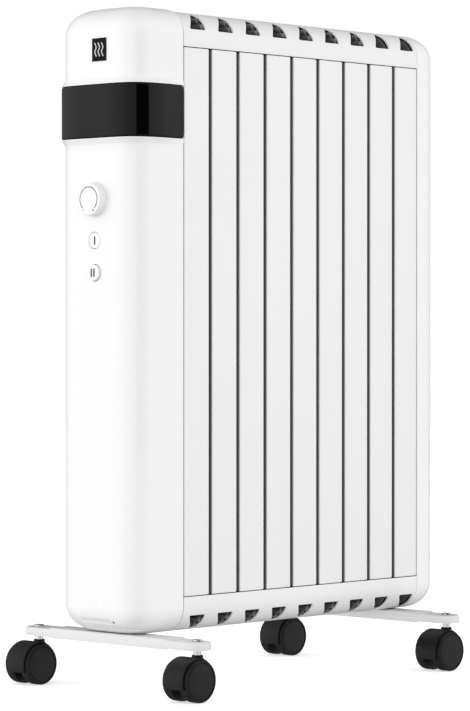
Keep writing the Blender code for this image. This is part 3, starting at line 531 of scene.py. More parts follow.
def vented_cover(node, upward):
    """All the cells of one cover, side by side along Y: a ring round each vent, the flat between
    the bends, and the straight sides down to the seam."""
    low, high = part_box(node)
    flat = high.x - COVER_ROUND
    bend_end = flat + COVER_ROUND * math.pi / 2
    seam = bend_end + (high.z - low.z) - COVER_ROUND
    fronts = [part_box(name)[0].y for name in FIN_NAMES]
    vent_fronts = [(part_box(name)[0].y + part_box(name)[1].y) / 2 - VENT_SET_FORWARD
                   for name in FIN_NAMES]
    edges = [low.y] + fronts[1:] + [high.y]
    ring = np.array(RING_SHARES)[:, None, None]
    skins = []
    for number, vent_front in enumerate(vent_fronts):
        from_y, to_y = edges[number], edges[number + 1]
        rim = vent_rim(vent_front, VENT_LOW_ANGLE[node], flat)
        cell = cell_edge(from_y, to_y, bend_end, flat - CELL_SPARE)
        blank = rim[None] + (cell - rim)[None] * ring
        along = np.linspace(from_y, to_y, POINTS_A_SIDE + 1)[None, :]
        middle = np.linspace(CELL_SPARE - flat, flat - CELL_SPARE, 7)[:, None]
        skins.append(round_over(along + 0 * middle, middle + 0 * along, low, high, upward))
        for side in (-1, 1):
            skins.append(round_over(blank[..., 0], side * blank[..., 1], low, high, upward))
            drop = side * np.linspace(bend_end, seam, 4)[:, None]
            skins.append(round_over(along + 0 * drop, drop + 0 * along, low, high, upward))
    cover = lie_grids(f"punched_{node}", *skins)
    # The inner faces take the second finish: painted shade.
    thicken(cover, COVER_WALL, inner_shade=1, even=False)
    rim = cover.modifiers.new("rim", "BEVEL")
    rim.width = RIM_ROUND
    rim.segments = 2
    rim.limit_method = "ANGLE"
    rim.angle_limit = math.radians(50)
    rim.use_clamp_overlap = True
    return press(cover)


# The inside of the covers is near black: painted shade, seen through the vents.
INNER_SHADE_FINISH = finish_of("cover_inside_painted_shade", COVER_SHADE_DARK, 0.75, blotches=0.4,
                         Specular_IOR_Level=0.15)
for node, upward in (("top_cover", True), ("bottom_cover", False)):
    mount(vented_cover(node, upward), (PANEL_FINISH, INNER_SHADE_FINISH), "panel_white", "heater", node)

# ---- rear cap ---------------------------------------------------------------
# A plain moulded cup that closes the far end.  In plan it is half a superellipse, and the same
# rounding as on the covers runs all the way round its top and its bottom.

SHELL_WALL = 0.0025
CAP_POWER = 4.5
PLAN_POINTS = 145
SHELL_WHITE = (0.87, 0.872, 0.875, 1.0)


def plan_of(half_width, depth, power):
    """Half a superellipse from +X round to -X, as across and out.

    reach(angle) = (|cos|^power + |sin|^power)^(-1/power), stretched by half_width across and
    depth out.
    """
    angle = np.linspace(0.0, math.pi, PLAN_POINTS)
    across, out = np.cos(angle), np.sin(angle)
    reach = (np.abs(across) ** power + np.abs(out) ** power) ** (-1 / power)
    return half_width[:, None] * (reach * across)[None, :], depth[:, None] * (reach * out)[None, :]


def cup_skin(joint_y, outwards, half_width, depth, side_heights, side_pull, low_z, high_z, power):
    """A moulded cup: sections at rising heights, each the plan drawn in by a pull.

    From the middle of the underside the section grows to the start of the rounding, follows a
    quarter circle up to the side, runs up the side, and closes over the top the same way.
    """
    turn = quarter(45)
    grow = np.linspace(0.0, 1.0, 6)[:-1]
    steps = len(turn)
    height = np.concatenate([0 * grow + low_z, low_z + COVER_ROUND * (1 - np.cos(turn)),
                             side_heights, high_z - COVER_ROUND * (1 - np.cos(turn[::-1])),
                             0 * grow + high_z])
    pull = np.concatenate([0 * grow + COVER_ROUND, COVER_ROUND * (1 - np.sin(turn)), side_pull,
                           COVER_ROUND * (1 - np.sin(turn[::-1])), 0 * grow + COVER_ROUND])
    size = np.concatenate([grow, np.ones(2 * steps + len(side_heights)), grow[::-1]])
    across, out = plan_of((half_width - pull) * size, (depth - pull) * size, power)
    grid = np.empty(across.shape + (3,))
    grid[:, :, 0] = across
    grid[:, :, 1] = joint_y + outwards * out
    grid[:, :, 2] = height[:, None]
    return grid


def soften(piece, width, segments=2, limit=50.0):
    """Breaks the sharp edges of a piece with a small round."""
    edge = piece.modifiers.new("edge", "BEVEL")
    edge.width = width
    edge.segments = segments
    edge.limit_method = "ANGLE"
    edge.angle_limit = math.radians(limit)
    return piece


SHELL_FINISH = finish_of("moulded_shell_white", SHELL_WHITE, 0.27, grain=(1100.0, 0.000012),
                         blotches=0.004, handling=0.02, dust=0.06)
cap_low, cap_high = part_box("rear_cap")
cap_sides = np.linspace(cap_low.z + COVER_ROUND, cap_high.z - COVER_ROUND, 12)[1:-1]
rear_cap = lie_grids("moulded_rear_cap", cup_skin(
    cap_low.y, 1, cap_high.x, cap_high.y - cap_low.y, cap_sides, 0 * cap_sides,
    cap_low.z, cap_high.z, CAP_POWER))
press(soften(thicken(rear_cap, SHELL_WALL), 0.0005))
mount(rear_cap, (SHELL_FINISH,), "shell_white", "heater", "rear_cap")

# ---- controls behind the face -----------------------------------------------
# The thermostat, two push switches and the terminal block are screwed to a zinc-plated bracket
# behind the face of the housing, where the wires meet; only their knob and caps show.

keep(ZINC_FINISH, "control_bracket")
keep(BAKELITE, "thermostat_body", "power_switch_one", "power_switch_two", "terminal_block")
keep(TURNED_STEEL, "thermostat_shaft")

# ---- control housing --------------------------------------------------------
# One tall moulded cup over the control end, in gloss white.  Its skin flares into a lip under and
# over the seat of the black band, and it is drilled for the caps, the cord bush and a screw.

HOUSING_POWER = 5.2
JOINT_GAP = 0.0005           # shadow gap between the housing and the first fin
LIP_HEIGHT = 0.0056
LIP_FLARE = 0.0030
LIP_LAND = 0.0007
BAND_SLOT = 0.0003           # room between the band and each lip
LIP_STEP = 0.0001            # height over which a lip steps back to the seat
LIP_EASE = 0.030             # the lips and the band sink in over this length from the joint
LIP_AT_JOINT = 0.3
RELIEF_DEPTH = 0.0022        # two shallow facets pressed into the foot of the face, over the bar
RELIEF_TIERS = ((0.0676, 0.0727, -0.0240, 0.0185), (0.0618, 0.0661, -0.0120, 0.0470))
RELIEF_FADE = 0.003
CAP_CLEARANCE = 0.0005
SCREW_AT = (0.0214, 0.0697)
SCREW_HOLE = 0.0012
BUSH_HOLE = 0.0066
FACE_BEHIND_KNOB = 0.0004
WALL_DRILL = 0.008           # reach of the drill either side of the skin
FACE_DRILL = 0.012

band_low, band_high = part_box("handle_band")
shell_low, shell_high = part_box("control_housing")
shell_joint = shell_high.y - JOINT_GAP
half_shell = cap_high.x
shell_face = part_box("thermostat_knob")[1].y - FACE_BEHIND_KNOB
shell_depth = shell_joint - shell_face


def lip_sides(low_z, high_z):
    """Heights of the housing's side and how far its skin stands out at each.

    A lip flares as flare * t^1.2 over its height, holds for a narrow land, then steps back to the
    band's seat; a second lip above the band mirrors it.
    """
    rise = np.linspace(0.0, 1.0, 9)
    flare = LIP_FLARE * rise ** 1.2
    foot = band_low.z - BAND_SLOT
    head = band_high.z + BAND_SLOT
    under = foot - LIP_LAND - LIP_HEIGHT * (1 - rise)
    over = head + LIP_LAND + LIP_HEIGHT * (1 - rise[::-1])
    below = np.linspace(low_z + COVER_ROUND, under[0], 42)[1:-1]
    above = np.linspace(over[-1], high_z - COVER_ROUND, 6)[1:-1]
    seat = [foot, foot + LIP_STEP, head - LIP_STEP, head]
    height = np.concatenate([below, under, seat, over, above])
    stand = np.concatenate([0 * below, flare, [LIP_FLARE, 0.0, 0.0, LIP_FLARE], flare[::-1],
                            0 * above])
    return height, stand


def face_relief(grid):
    """Presses the facets into the foot of the face: press = depth * (top - z) / (top - low),
    faded at both ends."""
    x, z = grid[:, :, 0], grid[:, :, 2]
    face = grid[:, :, 1] < shell_joint - shell_depth / 2
    for low, top, from_x, to_x in RELIEF_TIERS:
        ends = (np.clip((x - from_x) / RELIEF_FADE, 0, 1)
                * np.clip((to_x - x) / RELIEF_FADE, 0, 1))
        inside = (z < top) & (z > low) & face
        grid[:, :, 1] += RELIEF_DEPTH * (top - z) / (top - low) * ends * inside
    return grid


def sunk_at_joint(out):
    """Share of its full stand that a lip keeps at a distance out from the joint: a smooth step."""
    t = np.clip(out / LIP_EASE, 0, 1)
    return LIP_AT_JOINT + (1 - LIP_AT_JOINT) * t ** 2 * (3 - 2 * t)


def spin(profile, centre, out, turns=64):
    """A turned surface: profile is rows of (radius, distance out) about a line through centre.

    Each row becomes a circle: point = centre + out * distance + radius * (cos, sin) across it.
    """
    profile = np.asarray(profile, float)
    axis = np.asarray(out, float)
    first = np.array([1.0, 0.0, 0.0]) if abs(axis[0]) < 0.5 else np.array([0.0, 1.0, 0.0])
    second = np.cross(axis, first)
    turn = np.linspace(0, 2 * math.pi, turns + 1)[None, :, None]
    radius, distance = profile[:, 0][:, None, None], profile[:, 1][:, None, None]
    return (np.asarray(centre, float) + distance * axis
            + radius * (np.cos(turn) * first + np.sin(turn) * second))


def rounded(*corners, steps=5):
    """A profile through corners of (radius, out, rounding): each corner becomes a curve that
    leaves one side and meets the next, p = (1-t)^2 a + 2t(1-t) corner + t^2 b."""
    points = [np.array([corners[0][:2]])]
    t = np.linspace(0, 1, steps)[:, None]
    for before, corner, after in zip(corners, corners[1:], corners[2:]):
        here = np.array(corner[:2])
        back, ahead = np.array(before[:2]) - here, np.array(after[:2]) - here
        start = here + back * min(0.5, corner[2] / max(np.linalg.norm(back), 1e-9))
        finish = here + ahead * min(0.5, corner[2] / max(np.linalg.norm(ahead), 1e-9))
        curve = (1 - t) ** 2 * start + 2 * t * (1 - t) * here + t ** 2 * finish
        points.append(curve if corner[2] > 0 else here[None])
    points.append(np.array([corners[-1][:2]]))
    return np.concatenate(points)


def drill(piece, radius, centre, out, reach):
    """Cuts a round hole through a wall; the drill is removed once its cut is fixed."""
    tool = lie_grids("drill", spin([(0, -reach), (radius, -reach), (radius, reach), (0, reach)],
                                   centre, out, 48))
    cut = piece.modifiers.new("hole", "BOOLEAN")
    cut.operation = "DIFFERENCE"
    cut.solver = "EXACT"
    cut.object = tool
    press(piece)
    bpy.data.objects.remove(tool)


side_heights, side_stand = lip_sides(shell_low.z, shell_high.z)
plain, flared = (cup_skin(shell_joint, -1, half_shell, shell_depth, side_heights, pull,
                          shell_low.z, shell_high.z, HOUSING_POWER)
                 for pull in (0 * side_stand, -side_stand))
eased = plain + (flared - plain) * sunk_at_joint(shell_joint - plain[:, :, 1])[:, :, None]
housing = lie_grids("moulded_control_housing", face_relief(eased))
press(thicken(housing, SHELL_WALL, even=False))
for node in ("power_button_one", "power_button_two"):
    low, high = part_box(node)
    drill(housing, (high.x - low.x) / 2 + CAP_CLEARANCE, (0, shell_face, (low.z + high.z) / 2),
          (0, -1, 0), WALL_DRILL)
drill(housing, SCREW_HOLE, (SCREW_AT[0], shell_face, SCREW_AT[1]), (0, -1, 0), FACE_DRILL)
bush_low, bush_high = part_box("cord_grommet")
bush_middle = (bush_low + bush_high) / 2
drill(housing, BUSH_HOLE, (-half_shell, bush_middle.y, bush_middle.z), (-1, 0, 0), WALL_DRILL)
press(housing)
mount(housing, (SHELL_FINISH,), "shell_white", "heater", "control_housing")
keep(BAKELITE, "housing_screw")

# ---- handle band ------------------------------------------------------------
# A strip of polished black plastic wrapped round the housing and clipped between its two lips.
# It is thick enough to grip, with rounded edges and rounded corners at both ends.

BAND_EDGE = 0.0020
BAND_CORNER = 0.0035
BAND_SEAT_GAP = 0.0004
POLISHED_BLACK = (0.0022, 0.0022, 0.0024, 1.0)


def band_skin(low, high, joint_y):
    """The band: an oblong section with rounded outer edges, carried round the plan of the housing.

    Near an end the half height falls along a quarter circle,
    half = full - (corner - sqrt(corner^2 - (corner - distance)^2)), and the end rows close to
    a line.
    """
    across, out = plan_of(np.array([high.x, half_shell + BAND_SEAT_GAP]),
                          np.array([joint_y - low.y, shell_depth + BAND_SEAT_GAP]), HOUSING_POWER)
    sunk = sunk_at_joint(out[1])
    across[0] = across[1] + (across[0] - across[1]) * sunk
    out[0] = out[1] + (out[0] - out[1]) * sunk
    run = np.concatenate([[0.0], np.cumsum(np.hypot(np.diff(across[0]), np.diff(out[0])))])
    ends = BAND_CORNER * (1 - np.cos(quarter(8)))
    middle = np.linspace(BAND_CORNER, run[-1] - BAND_CORNER, 200)[1:-1]
    station = np.concatenate([[0.0], ends, middle, run[-1] - ends[::-1], [run[-1]]])
    distance = np.minimum(np.minimum(station, run[-1] - station), BAND_CORNER)
    cut = BAND_CORNER - np.sqrt(BAND_CORNER ** 2 - (BAND_CORNER - distance) ** 2)
    half = (high.z - low.z) / 2 - cut
    half[[0, -1]] = 0.0
    edge = quarter(6)
    inset = BAND_EDGE * (1 - np.sin(edge)) / (high.x - half_shell)
    lower = BAND_EDGE * (1 - np.cos(edge))
    depth = np.concatenate([inset, inset[::-1], [1.0, 1.0], inset[:1]])[None, :]
    drop = np.concatenate([lower, lower[::-1], [0.0, 0.0], lower[:1]])[None, :]
    sign = np.concatenate([0 * edge + 1, 0 * edge - 1, [-1.0, 1.0, 1.0]])[None, :]
    x = [np.interp(station, run, across[layer])[:, None] for layer in (0, 1)]
    y = [np.interp(station, run, out[layer])[:, None] for layer in (0, 1)]
    grid = np.empty((len(station), depth.shape[1], 3))
    grid[:, :, 0] = x[0] * (1 - depth) + x[1] * depth
    grid[:, :, 1] = joint_y - (y[0] * (1 - depth) + y[1] * depth)
    grid[:, :, 2] = (high.z + low.z) / 2 + sign * np.maximum(half[:, None] - drop, 0.0)
    return grid


BAND_FINISH = finish_of("polished_black", POLISHED_BLACK, 0.09, grain=(260.0, 0.000004),
                        blotches=0.3, handling=0.05, dust=0.04, Specular_IOR_Level=0.14)
band = lie_grids("polished_handle_band", band_skin(band_low, band_high, shell_joint))
mount(press(band, 60.0), (BAND_FINISH,), "gloss_black", "heater", "handle_band")

# ---- badge ------------------------------------------------------------------
# A small black plate let into the top of the face, with a plain sign for warmth on it: three
# rising waves.  It is a printed and lacquered pressing, stuck on.

BADGE_EDGE = 0.0004
WAVE_SPACING = 0.0046
WAVE_SWING = 0.0009
WAVE_HALF_HEIGHT = 0.0066
WAVE_HALF_WIDTH = 0.00062
WAVE_TURNS = 1.5
WAVES_ASIDE = 8.5            # spacings added before folding: keeps it above nought and centred
SIGN_WHITE = (0.80, 0.80, 0.80, 1.0)

badge_low, badge_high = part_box("badge")
badge_middle = (badge_low + badge_high) / 2


def plate_skin(low, high):
    """A thin plate: oblong outlines laid from the middle of its back to the middle of its face.

    The outline is a circle of radius sqrt(2) cut off square at one, and its inset grows along a
    quarter circle at the front edge.
    """
    turn = np.linspace(0, 2 * math.pi, 65)
    edge = quarter(5)
    inset = np.concatenate([[0.0], BADGE_EDGE * (1 - np.cos(edge)), [BADGE_EDGE]])
    shrink = np.concatenate([[0.0], np.ones(len(edge)), [0.0]])
    back = np.concatenate([[1.0], 0 * edge, [0.0]])
    forward = np.concatenate([[0.0], BADGE_EDGE * np.sin(edge), [BADGE_EDGE]])
    centre = (low + high) / 2
    half = (high - low) / 2
    across = np.clip(2 ** 0.5 * np.cos(turn), -1, 1)
    up = np.clip(2 ** 0.5 * np.sin(turn), -1, 1)
    grid = np.empty((len(inset), len(turn), 3))
    grid[:, :, 0] = centre.x + shrink[:, None] * (half.x - inset[:, None]) * across[None, :]
    grid[:, :, 1] = high.y - (high.y - low.y - BADGE_EDGE) * (1 - back[:, None]) - forward[:, None]
    grid[:, :, 2] = centre.z + shrink[:, None] * (half.z - inset[:, None]) * up[None, :]
    return grid


def offset_from(tree, middle):
    """The piece's own coordinates across and up from a point, and its place along Y."""
    place = add(tree, "TexCoord").outputs["Object"]
    apart = add(tree, "SeparateXYZ", Vector=place).outputs
    return (reckon(tree, "SUBTRACT", apart["X"], middle[0]),
            reckon(tree, "SUBTRACT", apart["Z"], middle[1]), apart["Y"])


def within(tree, distance, half, soft=0.00008):
    """One where a distance is under half, falling to nought over a soft edge."""
    return between(tree, reckon(tree, "ABSOLUTE", distance), half - soft, half + soft, 1.0, 0.0)


def heat_waves(tree, colour):
    """Three upright waves: |across - k * spacing - swing * sin(turns * up)| < half width."""
    across, up, _ = offset_from(tree, (badge_middle.x, badge_middle.z))
    angle = reckon(tree, "MULTIPLY", up, WAVE_TURNS * math.pi / WAVE_HALF_HEIGHT)
    swing = reckon(tree, "MULTIPLY", reckon(tree, "SINE", angle), WAVE_SWING)
    straight = reckon(tree, "SUBTRACT", across, swing)
    fold = reckon(tree, "PINGPONG", reckon(tree, "ADD", straight, WAVES_ASIDE * WAVE_SPACING),
                  WAVE_SPACING / 2)
    line = within(tree, reckon(tree, "SUBTRACT", WAVE_SPACING / 2, fold), WAVE_HALF_WIDTH)
    tall = within(tree, up, WAVE_HALF_HEIGHT)
    wide = within(tree, across, 1.5 * WAVE_SPACING)
    share = reckon(tree, "MULTIPLY", reckon(tree, "MULTIPLY", line, tall), wide)
    return blended(tree, share, colour, SIGN_WHITE)


BADGE_FINISH = finish_of("lacquered_badge", POLISHED_BLACK, 0.16, grain=(900.0, 0.000003),
                         blotches=0.2, paint=heat_waves, Specular_IOR_Level=0.06)
badge = lie_grids("lacquered_badge", plate_skin(badge_low, badge_high))
mount(press(badge, 40.0), (BADGE_FINISH,), "gloss_black", "heater", "badge")

# ---- thermostat knob --------------------------------------------------------
# A turned cap in the same gloss white, pushed on to the thermostat's shaft.  Its face carries a
# grey printed ring, open at the bottom, from a small dot (off) to a large one (full heat).

RING_RADIUS = 0.0117
RING_HALF_WIDTH = 0.00058
RING_GAP_DEGREES = 42.0      # from straight down to either end of the ring
DOT_RADIUS_FROM_MIDDLE = 0.0125
DOT_DEGREES = 31.0
DOT_SMALL = 0.00062
DOT_LARGE = 0.00105
PRINT_GREY = (0.16, 0.16, 0.165, 1.0)
KNOB_TAPER = 0.0006
KNOB_ROUND = 0.0013
KNOB_BACK_ROUND = 0.0003

knob_low, knob_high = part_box("thermostat_knob")
knob_middle = (knob_low + knob_high) / 2
knob_radius = (knob_high.z - knob_low.z) / 2


def apart_from(tree, across, up, to_across, to_up):
    """Distance in the face from a point across and up."""
    gap_across = reckon(tree, "SUBTRACT", across, to_across)
    gap_up = reckon(tree, "SUBTRACT", up, to_up)
    squares = reckon(tree, "ADD", reckon(tree, "MULTIPLY", gap_across, gap_across),
                     reckon(tree, "MULTIPLY", gap_up, gap_up))
    return reckon(tree, "SQRT", squares)


def dial_print(tree, colour):
    """The ring, where | distance - radius | is under half its width and up is above the gap, and
    one dot past either end of it."""
    across, up, depth = offset_from(tree, (knob_middle.x, knob_middle.z))
    distance = apart_from(tree, across, up, 0.0, 0.0)
    ring = within(tree, reckon(tree, "SUBTRACT", distance, RING_RADIUS), RING_HALF_WIDTH, 0.0002)
    open_end = -RING_RADIUS * math.cos(math.radians(RING_GAP_DEGREES))
    share = reckon(tree, "MULTIPLY", ring, between(tree, up, open_end - 0.0002, open_end + 0.0002))
    turn = math.radians(DOT_DEGREES)
    down = -DOT_RADIUS_FROM_MIDDLE * math.cos(turn)
    for side, size in ((-1, DOT_SMALL), (1, DOT_LARGE)):
        to_dot = apart_from(tree, across, up, side * DOT_RADIUS_FROM_MIDDLE * math.sin(turn), down)
        share = reckon(tree, "MAXIMUM", share, within(tree, to_dot, size, 0.00015))
    on_face = between(tree, depth, knob_low.y + 0.0006, knob_low.y + 0.0010, 1.0, 0.0)
    return blended(tree, reckon(tree, "MULTIPLY", share, on_face), colour, PRINT_GREY)


KNOB_FINISH = finish_of("printed_knob_white", SHELL_WHITE, 0.24, grain=(1100.0, 0.00001),
                        blotches=0.01, paint=dial_print)
proud = knob_high.y - knob_low.y
knob = lie_grids("printed_thermostat_knob", spin(rounded(
    (0, 0, 0), (knob_radius - KNOB_TAPER, 0, KNOB_BACK_ROUND),
    (knob_radius, KNOB_TAPER, KNOB_BACK_ROUND), (knob_radius - KNOB_TAPER, proud, KNOB_ROUND),
    (0, proud, 0)),
    (knob_middle.x, knob_high.y, knob_middle.z), (0, -1, 0), 96))
mount(press(knob, 40.0), (KNOB_FINISH,), "shell_white", "thermostat_dial", "thermostat_knob")

# ---- push buttons -----------------------------------------------------------
# Two round caps in the gloss white, one latched in and one out.  Each is printed with one bar or
# two, for half or full heating, and slides in its hole with a thin gap all round.

BAR_HALF_HEIGHT = 0.0042
BAR_HALF_WIDTH = 0.00105
BAR_SPACING = 0.0036
CAP_ROUND = 0.0007
CAP_BACK_ROUND = 0.0003
MARK_BLACK = (0.012, 0.012, 0.013, 1.0)


def bars_print(count, middle, front_y):
    """Paints count upright bars with round ends side by side on a cap."""
    def paint(tree, colour):
        across, up, depth = offset_from(tree, middle)
        reach = reckon(tree, "SUBTRACT", reckon(tree, "ABSOLUTE", up),
                       BAR_HALF_HEIGHT - BAR_HALF_WIDTH)
        past = reckon(tree, "MAXIMUM", reach, 0.0)
        share = 0.0
        for bar in range(count):
            place = (bar - (count - 1) / 2) * BAR_SPACING
            distance = apart_from(tree, across, past, place, 0.0)
            share = reckon(tree, "MAXIMUM", share,
                           within(tree, distance, BAR_HALF_WIDTH, 0.00012))
        on_face = between(tree, depth, front_y + 0.0003, front_y + 0.0005, 1.0, 0.0)
        return blended(tree, reckon(tree, "MULTIPLY", share, on_face), colour, MARK_BLACK)
    return paint


for count, node in ((1, "power_button_one"), (2, "power_button_two")):
    low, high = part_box(node)
    middle = (low + high) / 2
    radius = (high.x - low.x) / 2
    cap_finish = finish_of(f"printed_cap_{count}", SHELL_WHITE, 0.24, grain=(1100.0, 0.00001),
                           blotches=0.01,
                           paint=bars_print(count, (middle.x, middle.z), low.y))
    length = high.y - low.y
    cap = lie_grids(f"printed_{node}", spin(rounded(
        (0, 0, 0), (radius, 0, CAP_BACK_ROUND), (radius, length, CAP_ROUND), (0, length, 0)),
        (middle.x, high.y, middle.z), (0, -1, 0)))
    mount(press(cap, 40.0), (cap_finish,), "shell_white", node.replace("power_", ""), node)

# ---- cord bush --------------------------------------------------------------
# A flanged rubber bush snapped into the side wall that stands to the back, where the mains lead
# leaves the housing.

RUBBER_BLACK = (0.020, 0.020, 0.021, 1.0)
BUSH_BORE = 0.0045

RUBBER_FINISH = finish_of("moulded_rubber", RUBBER_BLACK, 0.62, grain=(1600.0, 0.00003),
                          blotches=0.25, handling=0.15)
flange = (bush_high.z - bush_low.z) / 2
bush = lie_grids("moulded_cord_bush", spin(rounded(
    (BUSH_BORE, -0.006, 0), (0.0062, -0.006, 0.0006), (0.0062, 0.0003, 0), (flange, 0.0003, 0.0004),
    (flange, 0.0036, 0.0016), (BUSH_BORE, 0.0045, 0.0008), (BUSH_BORE, -0.006, 0)),
    (-half_shell, bush_middle.y, bush_middle.z), (-1, 0, 0)))
mount(press(bush, 40.0), (RUBBER_FINISH,), "caster_black", "heater", "cord_grommet")

# ---- feet -------------------------------------------------------------------
# Two pressed steel bars, sprayed white, each a tray turned over with round ends: deeper and
# taller under the heater, stepped down to a flat pad at each end for the caster's stem.

FOOT_WALL = 0.0018
FOOT_EDGE = 0.0016
FOOT_WHITE = (0.76, 0.762, 0.766, 1.0)
STEP_AT_X = 0.0790
STEP_LENGTH = 0.0035
BAR_UNDERSIDE = 0.047
PAD_UNDERSIDE = 0.048
PAD_TOP = 0.056


def foot_skin(low, high):
    """A tray turned over: the plan is a straight bar with half-round ends, drawn in by an inset.

    The wall rises at no inset, a quarter circle turns it over, and the top runs in to the middle
    line.  Where |x| passes the step, the underside and the top ease from the bar to the pad.
    """
    half_width = (high.y - low.y) / 2
    end_x = high.x - half_width
    middle_y = (high.y + low.y) / 2
    side = np.concatenate([[end_x], np.linspace(STEP_AT_X + STEP_LENGTH, STEP_AT_X, 8),
                           np.linspace(STEP_AT_X, -STEP_AT_X, 12)[1:-1],
                           -np.linspace(STEP_AT_X, STEP_AT_X + STEP_LENGTH, 8), [-end_x]])
    bend = np.linspace(0, math.pi, 25)[1:-1]
    base_x = np.concatenate([side, 0 * bend - end_x, side[::-1], 0 * bend + end_x, [end_x]])
    turn_x = np.concatenate([0 * side, -np.sin(bend), 0 * side, np.sin(bend), [0.0]])
    turn_y = np.concatenate([0 * side + 1, np.cos(bend), 0 * side - 1, -np.cos(bend), [1.0]])
    edge = quarter(6)
    inset = np.concatenate([[0.0, 0.0], FOOT_EDGE * (1 - np.cos(edge)),
                            [half_width * 0.6, half_width]])
    rise = np.concatenate([[0.0, 0.5], 0 * edge + 1, [1.0, 1.0]])
    drop = np.concatenate([[0.0, 0.0], FOOT_EDGE * (1 - np.sin(edge)), [0.0, 0.0]])
    grid = np.empty((len(inset), len(base_x), 3))
    radius = half_width - inset[:, None]
    grid[:, :, 0] = base_x[None, :] + radius * turn_x[None, :]
    grid[:, :, 1] = middle_y + radius * turn_y[None, :]
    step = np.clip((np.abs(base_x) - STEP_AT_X) / STEP_LENGTH, 0, 1)
    step = (step ** 2 * (3 - 2 * step))[None, :]
    under = BAR_UNDERSIDE + (PAD_UNDERSIDE - BAR_UNDERSIDE) * step
    over = high.z + (PAD_TOP - high.z) * step
    grid[:, :, 2] = under + (over - under) * rise[:, None] - drop[:, None]
    return grid


FOOT_FINISH = finish_of("sprayed_foot_white", FOOT_WHITE, 0.38, grain=(520.0, 0.00004),
                        blotches=0.03, dust=0.3)
for end in ("front", "rear"):
    foot = lie_grids(f"pressed_{end}_foot", foot_skin(*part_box(f"{end}_foot")))
    press(soften(thicken(foot, FOOT_WALL), 0.0003))
    mount(foot, (FOOT_FINISH,), "foot_white", "heater", f"{end}_foot")
    keep(TURNED_STEEL, f"{end}_foot_screw_left", f"{end}_foot_screw_right")

# ---- casters ----------------------------------------------------------------
# Four twin-wheel casters in black nylon.  A hood with a web down its middle turns on a plated
# stem riveted into the foot; a wheel runs on each side of the web, on one plated axle.

HOOD_FROM_DEGREES = -15.0
HOOD_TO_DEGREES = 200.0
HOOD_OUTER = 0.0220
HOOD_WALL = 0.0013
HOOD_HALF_WIDTH = 0.013
HOOD_EDGE = 0.0014
HOOD_WEB_HALF = 0.0045
COLLAR_RADIUS = 0.00545
COLLAR_FOOT = 0.030
COLLAR_SHOULDER = 0.0395
COLLAR_MOUTH = 0.0415        # the collar is open above this, round the stem
COLLAR_BORE = 0.0039
WHEEL_RIM_GROOVE = 0.0176
STEM_RADIUS = 0.0036
STEM_HEAD_FROM = 0.0563      # the riveted head is sprayed over together with the foot
NYLON_BLACK = (0.0022, 0.0022, 0.0024, 1.0)
SCUFF_GREY = (0.040, 0.039, 0.037, 1.0)
PLATED = (0.55, 0.55, 0.56, 1.0)


def hood_skin(axle, outer):
    """The guard: a strip as wide as both wheels carried round the axle, its side edges rolled in.

    radius = outer - (edge - sqrt(edge^2 - (edge - distance from the side)^2)).
    """
    turn = np.radians(np.linspace(HOOD_FROM_DEGREES, HOOD_TO_DEGREES, 61))[:, None]
    near = HOOD_EDGE * (1 - np.cos(quarter(5)))
    across = np.concatenate([-HOOD_HALF_WIDTH + near, HOOD_HALF_WIDTH - near[::-1]])
    distance = np.minimum(HOOD_HALF_WIDTH - np.abs(across), HOOD_EDGE)
    fall = HOOD_EDGE - np.sqrt(HOOD_EDGE ** 2 - (HOOD_EDGE - distance) ** 2)
    radius = (outer - fall)[None, :]
    return np.stack([axle.x + across[None, :] + 0 * turn, axle.y + radius * np.cos(turn),
                     axle.z + radius * np.sin(turn)], axis=-1)


def hood_web(axle, radius):
    """The web between the wheels: a cut disc with flat faces, closed at its middle."""
    turn = np.radians(np.linspace(HOOD_FROM_DEGREES, HOOD_TO_DEGREES, 61))
    rim = np.stack([np.cos(turn), np.sin(turn)]) * radius
    rim = np.concatenate([rim, rim[:, :1]], axis=1)
    middle = (rim[:, :1] + rim[:, -2:-1]) / 2
    share = np.array([0.0, 1.0, 1.0, 0.0])[:, None]
    across = HOOD_WEB_HALF * np.array([1.0, 1.0, -1.0, -1.0])[:, None]
    return np.stack([axle.x + across + 0 * share * rim[:1],
                     axle.y + middle[0] + (rim[0][None] - middle[0]) * share,
                     axle.z + middle[1] + (rim[1][None] - middle[1]) * share], axis=-1)


def scuffed(tree, colour):
    """Grey scuffs on what rolls or knocks: more where the noise is high."""
    place = add(tree, "TexCoord").outputs["Object"]
    stretched = add(tree, "Mapping", Vector=place)
    stretched.inputs["Scale"].default_value = (3.0, 1.0, 1.0)
    rubs = add(tree, "TexNoise", Vector=stretched.outputs["Vector"], Scale=210.0, Detail=7.0,
               Roughness=0.75)
    return blended(tree, between(tree, rubs.outputs[0], 0.56, 0.74, 0.0, 0.2), colour, SCUFF_GREY)


NYLON_FINISH = finish_of("moulded_nylon", NYLON_BLACK, 0.46, grain=(900.0, 0.00004),
                         blotches=0.25, handling=0.12, dust=0.02, paint=scuffed,
                         Specular_IOR_Level=0.20)
PLATED_FINISH = finish_of("bright_plating", PLATED, 0.16, grain=(700.0, 0.000006), blotches=0.1,
                          Metallic=1.0)

